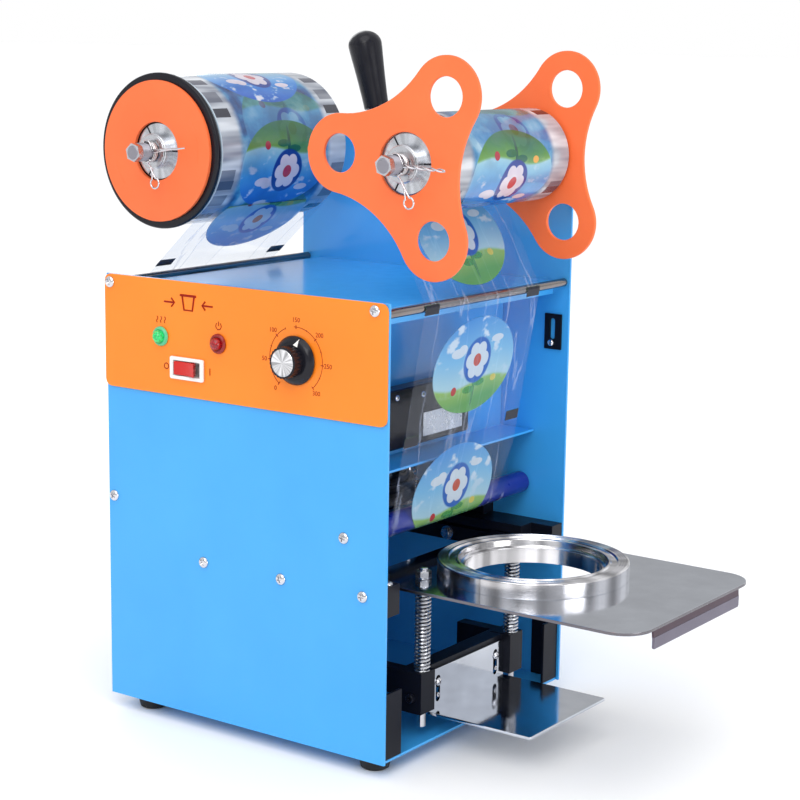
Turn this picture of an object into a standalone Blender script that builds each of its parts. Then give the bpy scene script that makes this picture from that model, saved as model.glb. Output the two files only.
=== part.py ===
"""Manual cup sealing machine, built as separate sub-parts in one machine frame.

Metres, +Z up. The operator stands on the -Y side, the control panel is on the -X side and the lever on +X.
The machine frame has x = 0 midway between the side panels, y = 0 midway along them and z = 0 on the table;
the empty "machine" moves it so that the world origin is under the centre of the whole object.
"""

import math

import bmesh
import bpy
from mathutils import Matrix, Vector

# ---------------------------------------------------------------- driving dimensions
GAP = 0.0003                     # clearance between pieces that touch
GAUGE = 0.002                    # sheet metal thickness

HALF_WIDTH = 0.108               # to the outer face of each side panel
HALF_DEPTH = 0.118               # half the length of the side panels
INNER_X = HALF_WIDTH - GAUGE     # inner face of each side panel
FOOT_HEIGHT = 0.010
LEFT_TOP = 0.306                 # top edge of the control side panel
RIGHT_TOP = 0.400                # top edge of the lever side panel
COVER_TOP = 0.300                # top face of the blue cover

CONTROL_LOW = 0.2293             # lower edge of the control panel
CONTROL_GAUGE = 0.0015
COVER_Y = (-0.1050, 0.1040)
COVER_GAUGE = 0.0018
COVER_SKIRT_LOW = 0.2900
SHELF_Y = (-0.0920, -0.0620)     # front edge and upright face of the inner panel
SHELF_LOW = 0.1900
INNER_TOP = 0.2975               # top edge of the rear panel and of the inner panel
REAR_PANEL_Y = 0.096
BASE_HALF_DEPTH = 0.116
FILM_WINDOW = (0.080, 0.138, 0.160)      # half width, low and high edge
INLET_LOW = (-0.060, 0.080, 0.013)
INLET_HIGH = (-0.020, 0.1015, 0.038)
FOOT_X = 0.090
FOOT_Y = (-0.098, 0.095)
FOOT_R = (0.0085, 0.0095, 0.0115)        # underside, edge and top
CONTROL_FACE_X = -(HALF_WIDTH + GAP + CONTROL_GAUGE)
GREEN_LAMP = (0.067, 0.268)      # y, z of each control
RED_LAMP = (0.017, 0.268)
SWITCH = (0.0435, 0.2485)
KNOB = (-0.047, 0.264)
LAMP_HOLE_R = 0.0046
KNOB_HOLE_R = 0.0036
SWITCH_FACE_HALF = (0.0145, 0.0075)
SWITCH_BODY_HALF = (0.0125, 0.0060)
SWITCH_POCKET_HALF = (0.0113, 0.0049)
TERMINAL_LOW = (-0.0600, -0.0765, 0.1985)
TERMINAL_HIGH = (0.0450, -0.0641, 0.2385)
CONTROLLER_HALF = (0.0135, 0.0150)
BRACKET_Y = (-0.1130, -0.0995)           # film stop bracket
BRACKET_Z = (0.2510, 0.2760)
BRACKET_SLOT = (-0.1060, 0.2655)

RING_CENTRE_Y = -0.1588          # mould ring with the drawer pulled out
RING_OUTER_R = 0.063
RING_BORE_R = 0.0485
RING_TOP = 0.131
PLATE_TOP = 0.1205               # slide plate
PLATE_GAUGE = 0.002
PLATE_HALF_WIDTH = 0.082
PLATE_FRONT = -0.280
PLATE_CORNER_R = 0.020
LIP_HALF_WIDTH = 0.0575
LIP_DROP = 0.0140
PLATE_REAR = -0.075
DRAWER_TRAVEL = -RING_CENTRE_Y   # brings the ring under the heating head

RAIL_LOW = 0.107
RAIL_HIGH = 0.127
RAIL_SEAT = 0.1337               # the raised rear part that carries the die plate
RAIL_FRONT = -0.1175
RAIL_REAR = 0.095
RAIL_WEB_X = 0.0925              # inner face of the rail's upright part
GUIDE_X = 0.079                  # inner face of the grooved part that holds the slide plate
GUIDE_FRONT = -0.100
GUIDE_LOW = 0.1075
DIE_LOW = 0.134
DIE_HIGH = 0.140
DIE_FRONT = -0.0595
DIE_REAR = 0.0955
DIE_HOLE_R = 0.0545
PLATE_HOLE_R = 0.0530

FILM_HALF_WIDTH = 0.068
FILM_GAUGE = 0.0003
FILM_LIFT = GAP + FILM_GAUGE / 2  # film centre line above what it runs on
ROLLER_R = 0.0075
FRONT_ROLLER = (-0.084, 0.153)   # y, z of each axis
REAR_ROLLER = (0.112, 0.1525)
ROD_R = 0.003
FRONT_ROD = (-0.1134, 0.2987)
REAR_ROD = (0.113, 0.300)

SUPPLY = (0.100, 0.387)
SUPPLY_ROLL_R = 0.051
SUPPLY_FLANGE_R = 0.0525
TAKE_UP = (-0.106, 0.3885)
TAKE_UP_ROLL_R = 0.031
SPINDLE_R = 0.0055
HUB_R = 0.019
HUB_BORE_R = 0.006
DISC_NEAR_X = -0.0775            # outer face of the discs on the control side
DISC_FAR_X = 0.0705              # inner face of the disc on the lever side
DISC_GAUGE = 0.0028
SPINDLE_TIP_X = -0.1005
LOBE_PITCH_R = 0.051             # hub centre to lobe centre
LOBE_R = 0.025
LOBE_HOLE_R = 0.0123
WAIST_R = 0.040                  # hub centre to the hollow between two lobes
DISC_HOLE_R = 0.0196
SUPPLY_DISC_R = 0.0475
HUB_NOSE_R = 0.012
HUB_FLANGE_R = 0.024

HEAD_REST = 0.150                # working face of the heating head, lever up
HEAD_TRAVEL = 0.0185
LEVER_SWING = math.radians(75.0)
PRESS_RATE = HEAD_TRAVEL / LEVER_SWING   # head travel for each radian of lever
SHAFT = (PRESS_RATE, 0.212)      # y, z: the cam then presses on the middle of the head
SHAFT_R = 0.006
BUSH_NECK_R = SHAFT_R + 0.0025
BUSH_FLANGE_R = 0.012
BUSH_OUT = 0.004                 # how far the bush stands out of the side panel
SHAFT_INNER_X = -0.036
CAM_HALF_WIDTH = 0.010
CAM_R = 0.018                    # cam radius with the lever up
POST_X = 0.080
POST_R = 0.005
CARRIER_TOP = SHAFT[1] - CAM_R - GAP
CARRIER_LOW = CARRIER_TOP - 0.0127
BRIDGE_LOW = 0.272
BRIDGE_HIGH = 0.282
BRIDGE_HALF_WIDTH = 0.092
BRIDGE_Y = (-0.012, 0.034)
HANGER_X = (-0.032, -0.020)
HANGER_Y = (0.002, 0.028)
CARRIER_HALF_DEPTH = 0.014
HEAD_R = 0.0520
HEAD_STEP_R = 0.0480
HEAD_STEM_R = 0.013

LEVER_X = 0.125
GRIP_LOW = (0.0645, 0.412)       # y, z of the lower and the upper end of the grip
GRIP_HIGH = (0.0780, 0.4700)
GRIP_LOW_R = 0.0093
GRIP_HIGH_R = 0.0125
LEVER_HUB_R = 0.014
LEVER_HUB_HALF = 0.009
LEVER_ROD_R = 0.0060
LEVER_SOCKET_R = 0.0075
GRIP_DOME = 0.012                # length of the grip's round end

ROD_X = 0.054                    # the two rods that hang from the slide plate
ROD_Y = -0.109
HANG_ROD_R = 0.003
HANG_ROD_LOW = 0.0195
SPRING_R = 0.0055
SPRING_WIRE_R = 0.0009
BLOCK_HALF = 0.008
BLOCK_Y = (-0.114, -0.097)
BLOCK_Z = (0.030, 0.058)
ARM_REAR = -0.066                # just clear of the rear panel with the drawer in
PLATFORM_HALF_WIDTH = 0.0480
FLANGE_HALF_WIDTH = 0.0456        # stands between the two sliding blocks
PLATFORM_FRONT = -0.1895
PLATFORM_TOP = 0.0280
FLANGE_Y = (-0.1092, -0.1070)
FLANGE_TOP = 0.0545
FLANGE_SLOT = (0.035, 0.0405)     # x, z of the slot on each side

# the world origin is under the centre of the whole object
OBJECT_X = (CONTROL_FACE_X - 0.0145, LEVER_X + GRIP_HIGH_R)
OBJECT_Y = (PLATE_FRONT, SUPPLY[0] + SUPPLY_FLANGE_R)
ORIGIN_SHIFT = (-(OBJECT_X[0] + OBJECT_X[1]) / 2, -(OBJECT_Y[0] + OBJECT_Y[1]) / 2, 0.0)

# ---------------------------------------------------------------- materials
FINISHES = {
    "blue_sheet": ((0.10, 0.45, 0.95), 0.35, 0.0),
    "orange_sheet": ((1.0, 0.27, 0.05), 0.35, 0.0),
    "orange_plastic": ((1.0, 0.21, 0.08), 0.40, 0.0),
    "black_steel": ((0.02, 0.02, 0.03), 0.40, 0.3),
    "black_plastic": ((0.02, 0.02, 0.02), 0.30, 0.0),
    "mirror_steel": ((0.80, 0.80, 0.82), 0.08, 1.0),
    "turned_steel": ((0.75, 0.75, 0.77), 0.25, 1.0),
    "aluminium": ((0.70, 0.70, 0.72), 0.35, 1.0),
    "blue_roller": ((0.01, 0.04, 0.40), 0.35, 0.0),
    "film": ((0.75, 0.88, 0.95), 0.10, 0.0),
    "printed_film": ((0.35, 0.65, 0.85), 0.20, 0.0),
    "white_plastic": ((0.85, 0.85, 0.83), 0.30, 0.0),
    "red_plastic": ((0.80, 0.03, 0.02), 0.25, 0.0),
    "green_plastic": ((0.05, 0.60, 0.20), 0.20, 0.0),
    "rubber": ((0.02, 0.02, 0.02), 0.80, 0.0),
}


def finish(name):
    """The material of one finish, made once."""
    if name in bpy.data.materials:
        return bpy.data.materials[name]
    colour, roughness, metallic = FINISHES[name]
    material = bpy.data.materials.new(name)
    material.use_nodes = True
    shader = material.node_tree.nodes["Principled BSDF"]
    shader.inputs["Base Color"].default_value = (*colour, 1.0)
    shader.inputs["Roughness"].default_value = roughness
    shader.inputs["Metallic"].default_value = metallic
    material.diffuse_color = (*colour, 1.0)
    return material


# ---------------------------------------------------------------- modelling helpers
def empty_at(name, location, parent=None):
    """An empty that stands on a joint's axis, its location given in the machine frame."""
    pivot = bpy.data.objects.new(name, None)
    bpy.context.collection.objects.link(pivot)
    pivot["machine_location"] = location
    pivot.parent = parent
    base = Vector(parent["machine_location"]) if parent else Vector((0, 0, 0))
    pivot.location = Vector(location) - base
    return pivot


def add_object(name, mesh_builder, material, pivot, smooth=False):
    """Turn a filled bmesh, in machine coordinates, into a named object under its pivot."""
    bmesh.ops.recalc_face_normals(mesh_builder, faces=mesh_builder.faces)
    mesh = bpy.data.meshes.new(name)
    origin = Vector(pivot["machine_location"])
    mesh_builder.transform(Matrix.Translation(-origin))
    mesh_builder.to_mesh(mesh)
    mesh_builder.free()
    obj = bpy.data.objects.new(name, mesh)
    bpy.context.collection.objects.link(obj)
    obj.parent = pivot
    if material:
        mesh.materials.append(finish(material))
    if smooth:
        mesh.shade_smooth()
        mesh.set_sharp_from_angle(angle=math.radians(35))
    return obj


def to_axis(axis, centre, across, along):
    """A point from two coordinates across an axis and one along it. centre is the axis's own place."""
    if axis == "X":
        return Vector((along, centre[0] + across[0], centre[1] + across[1]))
    if axis == "Y":
        return Vector((centre[0] + across[0], along, centre[1] + across[1]))
    return Vector((centre[0] + across[0], centre[1] + across[1], along))


def box(name, low, high, material, pivot, bevel=0.0):
    """A rectangular block between two corners."""
    builder = bmesh.new()
    bmesh.ops.create_cube(builder, size=1.0)
    size = Vector(high) - Vector(low)
    middle = (Vector(high) + Vector(low)) / 2
    builder.transform(Matrix.Translation(middle) @ Matrix.Diagonal((*size, 1.0)))
    obj = add_object(name, builder, material, pivot)
    if bevel:
        add_bevel(obj, bevel)
    return obj


def add_bevel(obj, width, segments=2, angle=40.0):
    """Round the sharp edges of an object."""
    modifier = obj.modifiers.new("edges", "BEVEL")
    modifier.width = width
    modifier.segments = segments
    modifier.limit_method = "ANGLE"
    modifier.angle_limit = math.radians(angle)


def prism(name, outline, axis, low, high, material, pivot, bevel=0.0, smooth=False):
    """A flat outline, given by its two coordinates across the axis, extruded along it."""
    builder = bmesh.new()
    lower = [builder.verts.new(to_axis(axis, (0, 0), point, low)) for point in outline]
    upper = [builder.verts.new(to_axis(axis, (0, 0), point, high)) for point in outline]
    builder.faces.new(lower)
    builder.faces.new(upper)
    for i in range(len(outline)):
        j = (i + 1) % len(outline)
        builder.faces.new((lower[i], lower[j], upper[j], upper[i]))
    obj = add_object(name, builder, material, pivot, smooth)
    if bevel:
        add_bevel(obj, bevel)
    return obj


def turned(name, profile, axis, centre, material, pivot, segments=32, smooth=True):
    """A body of revolution. profile lists (radius, place along the axis); a loop leaves a bore."""
    builder = bmesh.new()
    closed = profile[0][0] > 0
    rings = []
    for radius, along in profile:
        if radius == 0:
            rings.append([builder.verts.new(to_axis(axis, centre, (0, 0), along))])
            continue
        ring = []
        for k in range(segments):
            angle = math.tau * (k + 0.5) / segments
            across = (radius * math.cos(angle), radius * math.sin(angle))
            ring.append(builder.verts.new(to_axis(axis, centre, across, along)))
        rings.append(ring)
    pairs = list(zip(rings, rings[1:]))
    if closed:
        pairs.append((rings[-1], rings[0]))
    for first, second in pairs:
        for k in range(segments):
            m = (k + 1) % segments
            corners = [
                first[k % len(first)], first[m % len(first)], second[m % len(second)],
                second[k % len(second)]
            ]
            builder.faces.new(list(dict.fromkeys(corners)))
    return add_object(name, builder, material, pivot, smooth)


def subtract(obj, cutter):
    """Cut one object out of another and leave the cutter as a guide that isn't built."""
    cutter.hide_render = True
    cutter.display_type = "WIRE"
    modifier = obj.modifiers.new(cutter.name, "BOOLEAN")
    modifier.operation = "DIFFERENCE"
    modifier.solver = "EXACT"
    modifier.object = cutter


def join_into(obj, extra):
    """Weld a second closed shape to an object and leave it as a guide that isn't built."""
    extra.hide_render = True
    extra.display_type = "WIRE"
    modifier = obj.modifiers.new(extra.name, "BOOLEAN")
    modifier.operation = "UNION"
    modifier.solver = "EXACT"
    modifier.object = extra


def round_cutter(name, radius, axis, centre, low, high, pivot, segments=24):
    """A plain round cutter along an axis."""
    profile = [(0, low), (radius, low), (radius, high), (0, high)]
    return turned(name, profile, axis, centre, None, pivot, segments, smooth=False)


def rounded_outline(low, high, radius, steps=6, corners=(True, True, True, True)):
    """A rectangle whose chosen corners are round, from the lower left one anticlockwise."""
    points = []
    signs = ((-1, -1), (1, -1), (1, 1), (-1, 1))
    for index, (sx, sy) in enumerate(signs):
        corner = ((low[0], high[0])[sx > 0], (low[1], high[1])[sy > 0])
        if not corners[index]:
            points.append(corner)
            continue
        centre = (corner[0] - sx * radius, corner[1] - sy * radius)
        start = math.pi + index * math.pi / 2
        for k in range(steps + 1):
            angle = start + k * math.pi / 2 / steps
            points.append((centre[0] + radius * math.cos(angle), centre[1] + radius * math.sin(angle)))
    return points


def slot_outline(centre, half_width, half_length, steps=8):
    """An upright slot with round ends."""
    points = []
    for end in (1, -1):
        for k in range(steps + 1):
            angle = math.pi * k / steps + (0 if end > 0 else math.pi)
            across = centre[0] + half_width * math.cos(angle)
            points.append(
                (across, centre[1] + end * (half_length - half_width) + half_width * math.sin(angle)))
    return points


def coil_spring(name, centre, low, high, radius, wire_r, turns, pivot, steps=10, sides=4):
    """A compression spring standing along Z: one round wire swept along a helix."""
    builder = bmesh.new()
    count = turns * steps
    rings = []
    for i in range(count + 1):
        angle = math.tau * i / steps
        height = low + wire_r + (high - low - 2 * wire_r) * i / count
        out = Vector((math.cos(angle), math.sin(angle), 0))
        middle = Vector((*centre, height)) + out * (radius - wire_r)
        ring = []
        for k in range(sides):
            turn = math.tau * k / sides
            ring.append(
                builder.verts.new(
                    middle + wire_r * (out * math.cos(turn) + Vector((0, 0, math.sin(turn))))))
        rings.append(ring)
    for first, second in zip(rings, rings[1:]):
        for k in range(sides):
            m = (k + 1) % sides
            builder.faces.new((first[k], first[m], second[m], second[k]))
    builder.faces.new(rings[0])
    builder.faces.new(rings[-1])
    return add_object(name, builder, "turned_steel", pivot, smooth=True)


# ---------------------------------------------------------------- film path
def tangent_line(first, second):
    """Touching points of a line that leaves one guide circle and meets the next.

    A guide is (y, z, radius, turn); turn is 1 when the film goes round it anticlockwise seen from +X.
    """
    offset = Vector(second[:2]) - Vector(first[:2])
    rise = second[3] * second[2] - first[3] * first[2]
    heading = math.atan2(offset.y, offset.x) - math.asin(rise / offset.length)
    normal = Vector((-math.sin(heading), math.cos(heading)))
    leave = Vector(first[:2]) - first[3] * first[2] * normal
    meet = Vector(second[:2]) - second[3] * second[2] * normal
    return leave, meet


def wrap(guide, start, end, steps):
    """Points round a guide circle from one touching point to another."""
    centre = Vector(guide[:2])
    first = math.atan2(*(start - centre).yx)
    last = math.atan2(*(end - centre).yx)
    sweep = (last - first) % math.tau if guide[3] > 0 else -((first - last) % math.tau)
    return [
        centre + guide[2] * Vector(
            (math.cos(first + sweep * k / steps), math.sin(first + sweep * k / steps)))
        for k in range(steps + 1)
    ]


def film_strip(name, points, pivot):
    """A thin strip of film of constant width that follows points in the YZ plane."""
    left = []
    right = []
    for i, point in enumerate(points):
        before = points[max(i - 1, 0)]
        after = points[min(i + 1, len(points) - 1)]
        along = (after - before).normalized()
        normal = Vector((-along.y, along.x)) * FILM_GAUGE / 2
        left.append(point + normal)
        right.append(point - normal)
    outline = [tuple(p) for p in left + right[::-1]]
    prism(name, outline, "X", -FILM_HALF_WIDTH, FILM_HALF_WIDTH, "film", pivot)


def build_film(root):
    """The film web from the supply roll, under both rollers and up to the take-up roll."""
    supply = (*SUPPLY, SUPPLY_ROLL_R + FILM_LIFT, 1)
    rear_rod = (*REAR_ROD, ROD_R + FILM_LIFT, -1)
    rear_roller = (*REAR_ROLLER, ROLLER_R + FILM_LIFT, -1)
    front_roller = (*FRONT_ROLLER, ROLLER_R + FILM_LIFT, -1)
    front_rod = (*FRONT_ROD, ROD_R + FILM_LIFT, -1)
    take_up = (*TAKE_UP, TAKE_UP_ROLL_R + FILM_LIFT, 1)

    off_roll, on_rod = tangent_line(supply, rear_rod)
    off_rod, on_roller = tangent_line(rear_rod, rear_roller)
    off_roller, on_front = tangent_line(rear_roller, front_roller)
    path = [off_roll] + wrap(rear_rod, on_rod, off_rod, 4) + wrap(rear_roller, on_roller, off_roller, 6)
    film_strip("film_rear_run", path, root)

    join = Vector((GAP, 0))
    film_strip("film_bed_run", [off_roller - join, on_front + join], root)

    off_front, on_rod = tangent_line(front_roller, front_rod)
    off_rod, on_roll = tangent_line(front_rod, take_up)
    path = wrap(front_roller, on_front, off_front, 6) + wrap(front_rod, on_rod, off_rod, 4) + [on_roll]
    film_strip("film_front_run", path, root)


# ---------------------------------------------------------------- cabinet
def build_cabinet(root):
    """Folded sheet-metal cabinet, its panels, rails and guide rods."""
    left = box(
        "left_side_panel", (-HALF_WIDTH, -HALF_DEPTH, FOOT_HEIGHT), (-INNER_X, HALF_DEPTH, LEFT_TOP),
        "blue_sheet", root)
    outline = rounded_outline(
        (-HALF_DEPTH, FOOT_HEIGHT), (HALF_DEPTH, RIGHT_TOP), 0.006, 3, (False, False, True, True))
    right = prism("right_side_panel", outline, "X", INNER_X, HALF_WIDTH, "blue_sheet", root)
    shaft_hole = round_cutter(
        "shaft_hole", BUSH_NECK_R + GAP, "X", SHAFT, INNER_X - 0.006, HALF_WIDTH + 0.004, root)
    subtract(right, shaft_hole)

    bush = [
        (SHAFT_R + GAP, INNER_X - 0.001), (BUSH_NECK_R, INNER_X - 0.001),
        (BUSH_NECK_R, HALF_WIDTH + GAP), (BUSH_FLANGE_R, HALF_WIDTH + GAP),
        (BUSH_FLANGE_R, HALF_WIDTH + BUSH_OUT), (SHAFT_R + GAP, HALF_WIDTH + BUSH_OUT)
    ]
    turned("shaft_bush", bush, "X", SHAFT, "turned_steel", root, 24)

    inside_x = INNER_X - GAP
    box(
        "base_plate", (-inside_x, -BASE_HALF_DEPTH, FOOT_HEIGHT),
        (inside_x, BASE_HALF_DEPTH, FOOT_HEIGHT + GAUGE), "blue_sheet", root)
    rear_low = (-inside_x, REAR_PANEL_Y, FOOT_HEIGHT + GAUGE + GAP)
    rear = box("rear_panel", rear_low, (inside_x, REAR_PANEL_Y + GAUGE, INNER_TOP), "blue_sheet", root)
    cut_y = (REAR_PANEL_Y - 0.006, REAR_PANEL_Y + 0.008)
    window_x, window_low, window_high = FILM_WINDOW
    window = box(
        "film_window", (-window_x, cut_y[0], window_low), (window_x, cut_y[1], window_high), None, root)
    subtract(rear, window)
    room = 0.0002
    inlet_low = (INLET_LOW[0] - room, cut_y[0], INLET_LOW[2] - room)
    inlet_high = (INLET_HIGH[0] + room, cut_y[1], INLET_HIGH[2] + room)
    subtract(rear, box("inlet_window", inlet_low, inlet_high, None, root))

    front, rear_edge = COVER_Y
    under = COVER_TOP - COVER_GAUGE
    cover_outline = [
        (front, COVER_SKIRT_LOW), (front, COVER_TOP), (rear_edge, COVER_TOP),
        (rear_edge, COVER_SKIRT_LOW), (rear_edge - COVER_GAUGE, COVER_SKIRT_LOW),
        (rear_edge - COVER_GAUGE, under), (front + COVER_GAUGE, under),
        (front + COVER_GAUGE, COVER_SKIRT_LOW)
    ]
    prism("top_cover", cover_outline, "X", -inside_x, inside_x, "blue_sheet", root)

    edge, upright = SHELF_Y
    shelf_outline = [
        (edge, SHELF_LOW), (upright, SHELF_LOW), (upright, INNER_TOP),
        (upright - COVER_GAUGE, INNER_TOP), (upright - COVER_GAUGE, SHELF_LOW + COVER_GAUGE),
        (edge, SHELF_LOW + COVER_GAUGE)
    ]
    prism("inner_front_panel", shelf_outline, "X", -inside_x, inside_x, "blue_sheet", root)

    outline = rounded_outline((-HALF_DEPTH, CONTROL_LOW), (HALF_DEPTH, LEFT_TOP), 0.005, 3)
    control = prism(
        "control_panel", outline, "X", CONTROL_FACE_X, -HALF_WIDTH - GAP, "orange_sheet", root)
    for panel in (left, control):
        cut_x = (-HALF_WIDTH - 0.012, -HALF_WIDTH + 0.008)
        holes = (
            ("green", GREEN_LAMP, LAMP_HOLE_R), ("red", RED_LAMP, LAMP_HOLE_R),
            ("knob", KNOB, KNOB_HOLE_R))
        for name, place, radius in holes:
            subtract(
                panel, round_cutter(f"{panel.name}_{name}_hole", radius, "X", place, *cut_x, root, 16))
        half_y, half_z = (half + GAP for half in SWITCH_BODY_HALF)
        low = (cut_x[0], SWITCH[0] - half_y, SWITCH[1] - half_z)
        high = (cut_x[1], SWITCH[0] + half_y, SWITCH[1] + half_z)
        subtract(panel, box(f"{panel.name}_switch_hole", low, high, None, root))

    groove_low = PLATE_TOP - PLATE_GAUGE - GAP
    groove_high = PLATE_TOP + GAP
    groove_x = PLATE_HALF_WIDTH + GAP
    for name, side in (("left", -1), ("right", 1)):
        web_x = sorted((side * RAIL_WEB_X, side * inside_x))
        web_low = (web_x[0], RAIL_FRONT, RAIL_LOW)
        rail = box(f"slide_rail_{name}", web_low, (web_x[1], RAIL_REAR, RAIL_HIGH), "black_steel", root)
        overlap_x = RAIL_WEB_X + 0.001
        half_outline = [
            (GUIDE_X, GUIDE_LOW), (GUIDE_X, groove_low), (groove_x, groove_low),
            (groove_x, groove_high), (GUIDE_X, groove_high), (GUIDE_X, RAIL_HIGH),
            (overlap_x, RAIL_HIGH), (overlap_x, GUIDE_LOW)
        ]
        outline = [(side * x, z) for x, z in half_outline]
        join_into(rail, prism(f"rail_guide_{name}", outline, "Y", GUIDE_FRONT, RAIL_REAR, None, root))
        seat_low = (web_x[0], DIE_FRONT, RAIL_HIGH - 0.001)
        join_into(
            rail, box(f"rail_seat_{name}", seat_low, (web_x[1], RAIL_REAR, RAIL_SEAT), None, root))

    die_low = (-inside_x, DIE_FRONT, DIE_LOW)
    die = box("die_plate", die_low, (inside_x, DIE_REAR, DIE_HIGH), "black_steel", root)
    subtract(die, round_cutter("die_hole", DIE_HOLE_R, "Z", (0, 0), 0.130, 0.145, root, 48))

    for name, place in (("front", FRONT_ROD), ("rear", REAR_ROD)):
        profile = [(0, -inside_x), (ROD_R, -inside_x), (ROD_R, inside_x), (0, inside_x)]
        turned(f"{name}_guide_rod", profile, "X", place, "turned_steel", root, 16)

    top = FOOT_HEIGHT - GAP
    under_r, edge_r, top_r = FOOT_R
    profile = [(0, 0.0), (under_r, 0.0), (edge_r, 0.001), (top_r, top - 0.001), (top_r, top), (0, top)]
    for row, y in zip(("front", "rear"), FOOT_Y):
        for name, x in (("left", -FOOT_X), ("right", FOOT_X)):
            turned(f"foot_{row}_{name}", profile, "Z", (x, y), "rubber", root, 20)


def build_fittings(root):
    """Electrical fittings and small brackets fixed to the cabinet."""
    box("terminal_box", TERMINAL_LOW, TERMINAL_HIGH, "black_plastic", root, 0.001)

    half_y, half_z = CONTROLLER_HALF
    low = (-INNER_X + 0.0005, KNOB[0] - half_y, KNOB[1] - half_z)
    high = (-0.082, KNOB[0] + half_y, KNOB[1] + half_z)
    controller = box("temperature_controller", low, high, "black_plastic", root, 0.001)
    subtract(controller, round_cutter("controller_bore", 0.0034, "X", KNOB, -0.110, -0.092, root, 16))

    for name, place, material in (
        ("green_lamp", GREEN_LAMP, "green_plastic"), ("red_lamp", RED_LAMP, "red_plastic")
    ):
        face = CONTROL_FACE_X - GAP
        profile = [
            (0, -0.092), (0.0043, -0.092), (0.0043, face), (0.0066, face), (0.0066, face - 0.0010),
            (0.0058, face - 0.0018), (0.0046, face - 0.0018), (0.0040, face - 0.0042),
            (0.0022, face - 0.0060), (0, face - 0.0065)
        ]
        turned(name, profile, "X", place, material, root, 20)

    face = CONTROL_FACE_X - GAP

    def beside_switch(half):
        """The two opposite corners, in y and z, of a rectangle round the switch."""
        return (SWITCH[0] - half[0], SWITCH[1] - half[1]), (SWITCH[0] + half[0], SWITCH[1] + half[1])

    outline = rounded_outline(*beside_switch(SWITCH_FACE_HALF), 0.001, 2)
    housing = prism("switch_housing", outline, "X", face - 0.0018, face, "white_plastic", root)
    low, high = beside_switch(SWITCH_BODY_HALF)
    join_into(housing, box("switch_body", (face - 0.0005, *low), (-0.090, *high), None, root))
    low, high = beside_switch(SWITCH_POCKET_HALF)
    subtract(housing, box("switch_pocket", (face - 0.005, *low), (-0.100, *high), None, root))

    bracket_low = (INNER_X - GAP - 0.0016, BRACKET_Y[0], BRACKET_Z[0])
    bracket_high = (INNER_X - GAP, BRACKET_Y[1], BRACKET_Z[1])
    bracket = box("film_stop_bracket", bracket_low, bracket_high, "black_steel", root)
    outline = slot_outline(BRACKET_SLOT, 0.0019, 0.0075)
    subtract(bracket, prism("bracket_slot", outline, "X", INNER_X - 0.006, INNER_X + 0.001, None, root))

    box("power_inlet", INLET_LOW, INLET_HIGH, "black_plastic", root, 0.001)


def build_spindles(root):
    """The two fixed spindles that stick out of the lever side panel and carry the reels."""
    for name, place in (("supply_spindle", SUPPLY), ("take_up_spindle", TAKE_UP)):
        root_x = INNER_X - GAP
        tip = SPINDLE_TIP_X
        profile = [
            (0, tip), (0.0045, tip), (SPINDLE_R, tip + 0.001), (SPINDLE_R, root_x - 0.009),
            (0.010, root_x - 0.009), (0.010, root_x - 0.004), (0.016, root_x - 0.004), (0.016, root_x),
            (0, root_x)
        ]
        spindle = turned(name, profile, "X", place, "turned_steel", root, 24)
        hole = round_cutter(
            f"{name}_hole", 0.0012, "Z", (tip + 0.0135, place[0]), place[1] - 0.01, place[1] + 0.01,
            root, 8)
        subtract(spindle, hole)


# ---------------------------------------------------------------- reels and rollers
def arc(centre, radius, start, end, steps):
    """Points along an arc, both ends included."""
    return [
        centre + radius * Vector(
            (math.cos(start + (end - start) * k / steps), math.sin(start + (end - start) * k / steps)))
        for k in range(steps + 1)
    ]


def lobed_outline(place, phase):
    """Three round lobes joined by hollow sides, seen along X."""
    half_chord = LOBE_PITCH_R * math.sin(math.pi / 3)
    mid = LOBE_PITCH_R * math.cos(math.pi / 3)
    step = WAIST_R - mid
    hollow_r = (half_chord ** 2 + step ** 2 - LOBE_R ** 2) / (2 * (LOBE_R - step))
    hollow_centre = WAIST_R + hollow_r
    spread = math.atan2(half_chord, hollow_centre - mid)
    hub = Vector(place)
    points = []
    for lobe in range(3):
        outward = phase + lobe * math.tau / 3
        between = outward + math.pi / 3
        lobe_centre = hub + LOBE_PITCH_R * Vector((math.cos(outward), math.sin(outward)))
        side_centre = hub + hollow_centre * Vector((math.cos(between), math.sin(between)))
        reach = math.pi / 3 + spread
        points += arc(lobe_centre, LOBE_R, outward - reach, outward + reach, 16)
        points += arc(
            side_centre, hollow_r, between + math.pi + spread, between + math.pi - spread, 6)[1:-1]
    return [tuple(p) for p in points]


def lobed_disc(name, low_x, phase, pivot):
    """A three-lobe reel disc with a finger hole in each lobe."""
    high_x = low_x + DISC_GAUGE
    disc = prism(name, lobed_outline(TAKE_UP, phase), "X", low_x, high_x, "orange_plastic", pivot)
    holes = [(TAKE_UP, DISC_HOLE_R)]
    for lobe in range(3):
        angle = phase + lobe * math.tau / 3
        y = TAKE_UP[0] + LOBE_PITCH_R * math.cos(angle)
        z = TAKE_UP[1] + LOBE_PITCH_R * math.sin(angle)
        holes.append(((y, z), LOBE_HOLE_R))
    for number, (place, radius) in enumerate(holes):
        subtract(
            disc,
            round_cutter(
                f"{name}_hole_{number}", radius, "X", place, low_x - 0.003, high_x + 0.003, pivot, 32))


def ring_disc(name, low_x, high_x, inner_r, outer_r, place, material, pivot, segments=48):
    """A flat round disc, or a roll, with a hole."""
    profile = [(inner_r, low_x), (outer_r, low_x), (outer_r, high_x), (inner_r, high_x)]
    return turned(name, profile, "X", place, material, pivot, segments)


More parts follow.
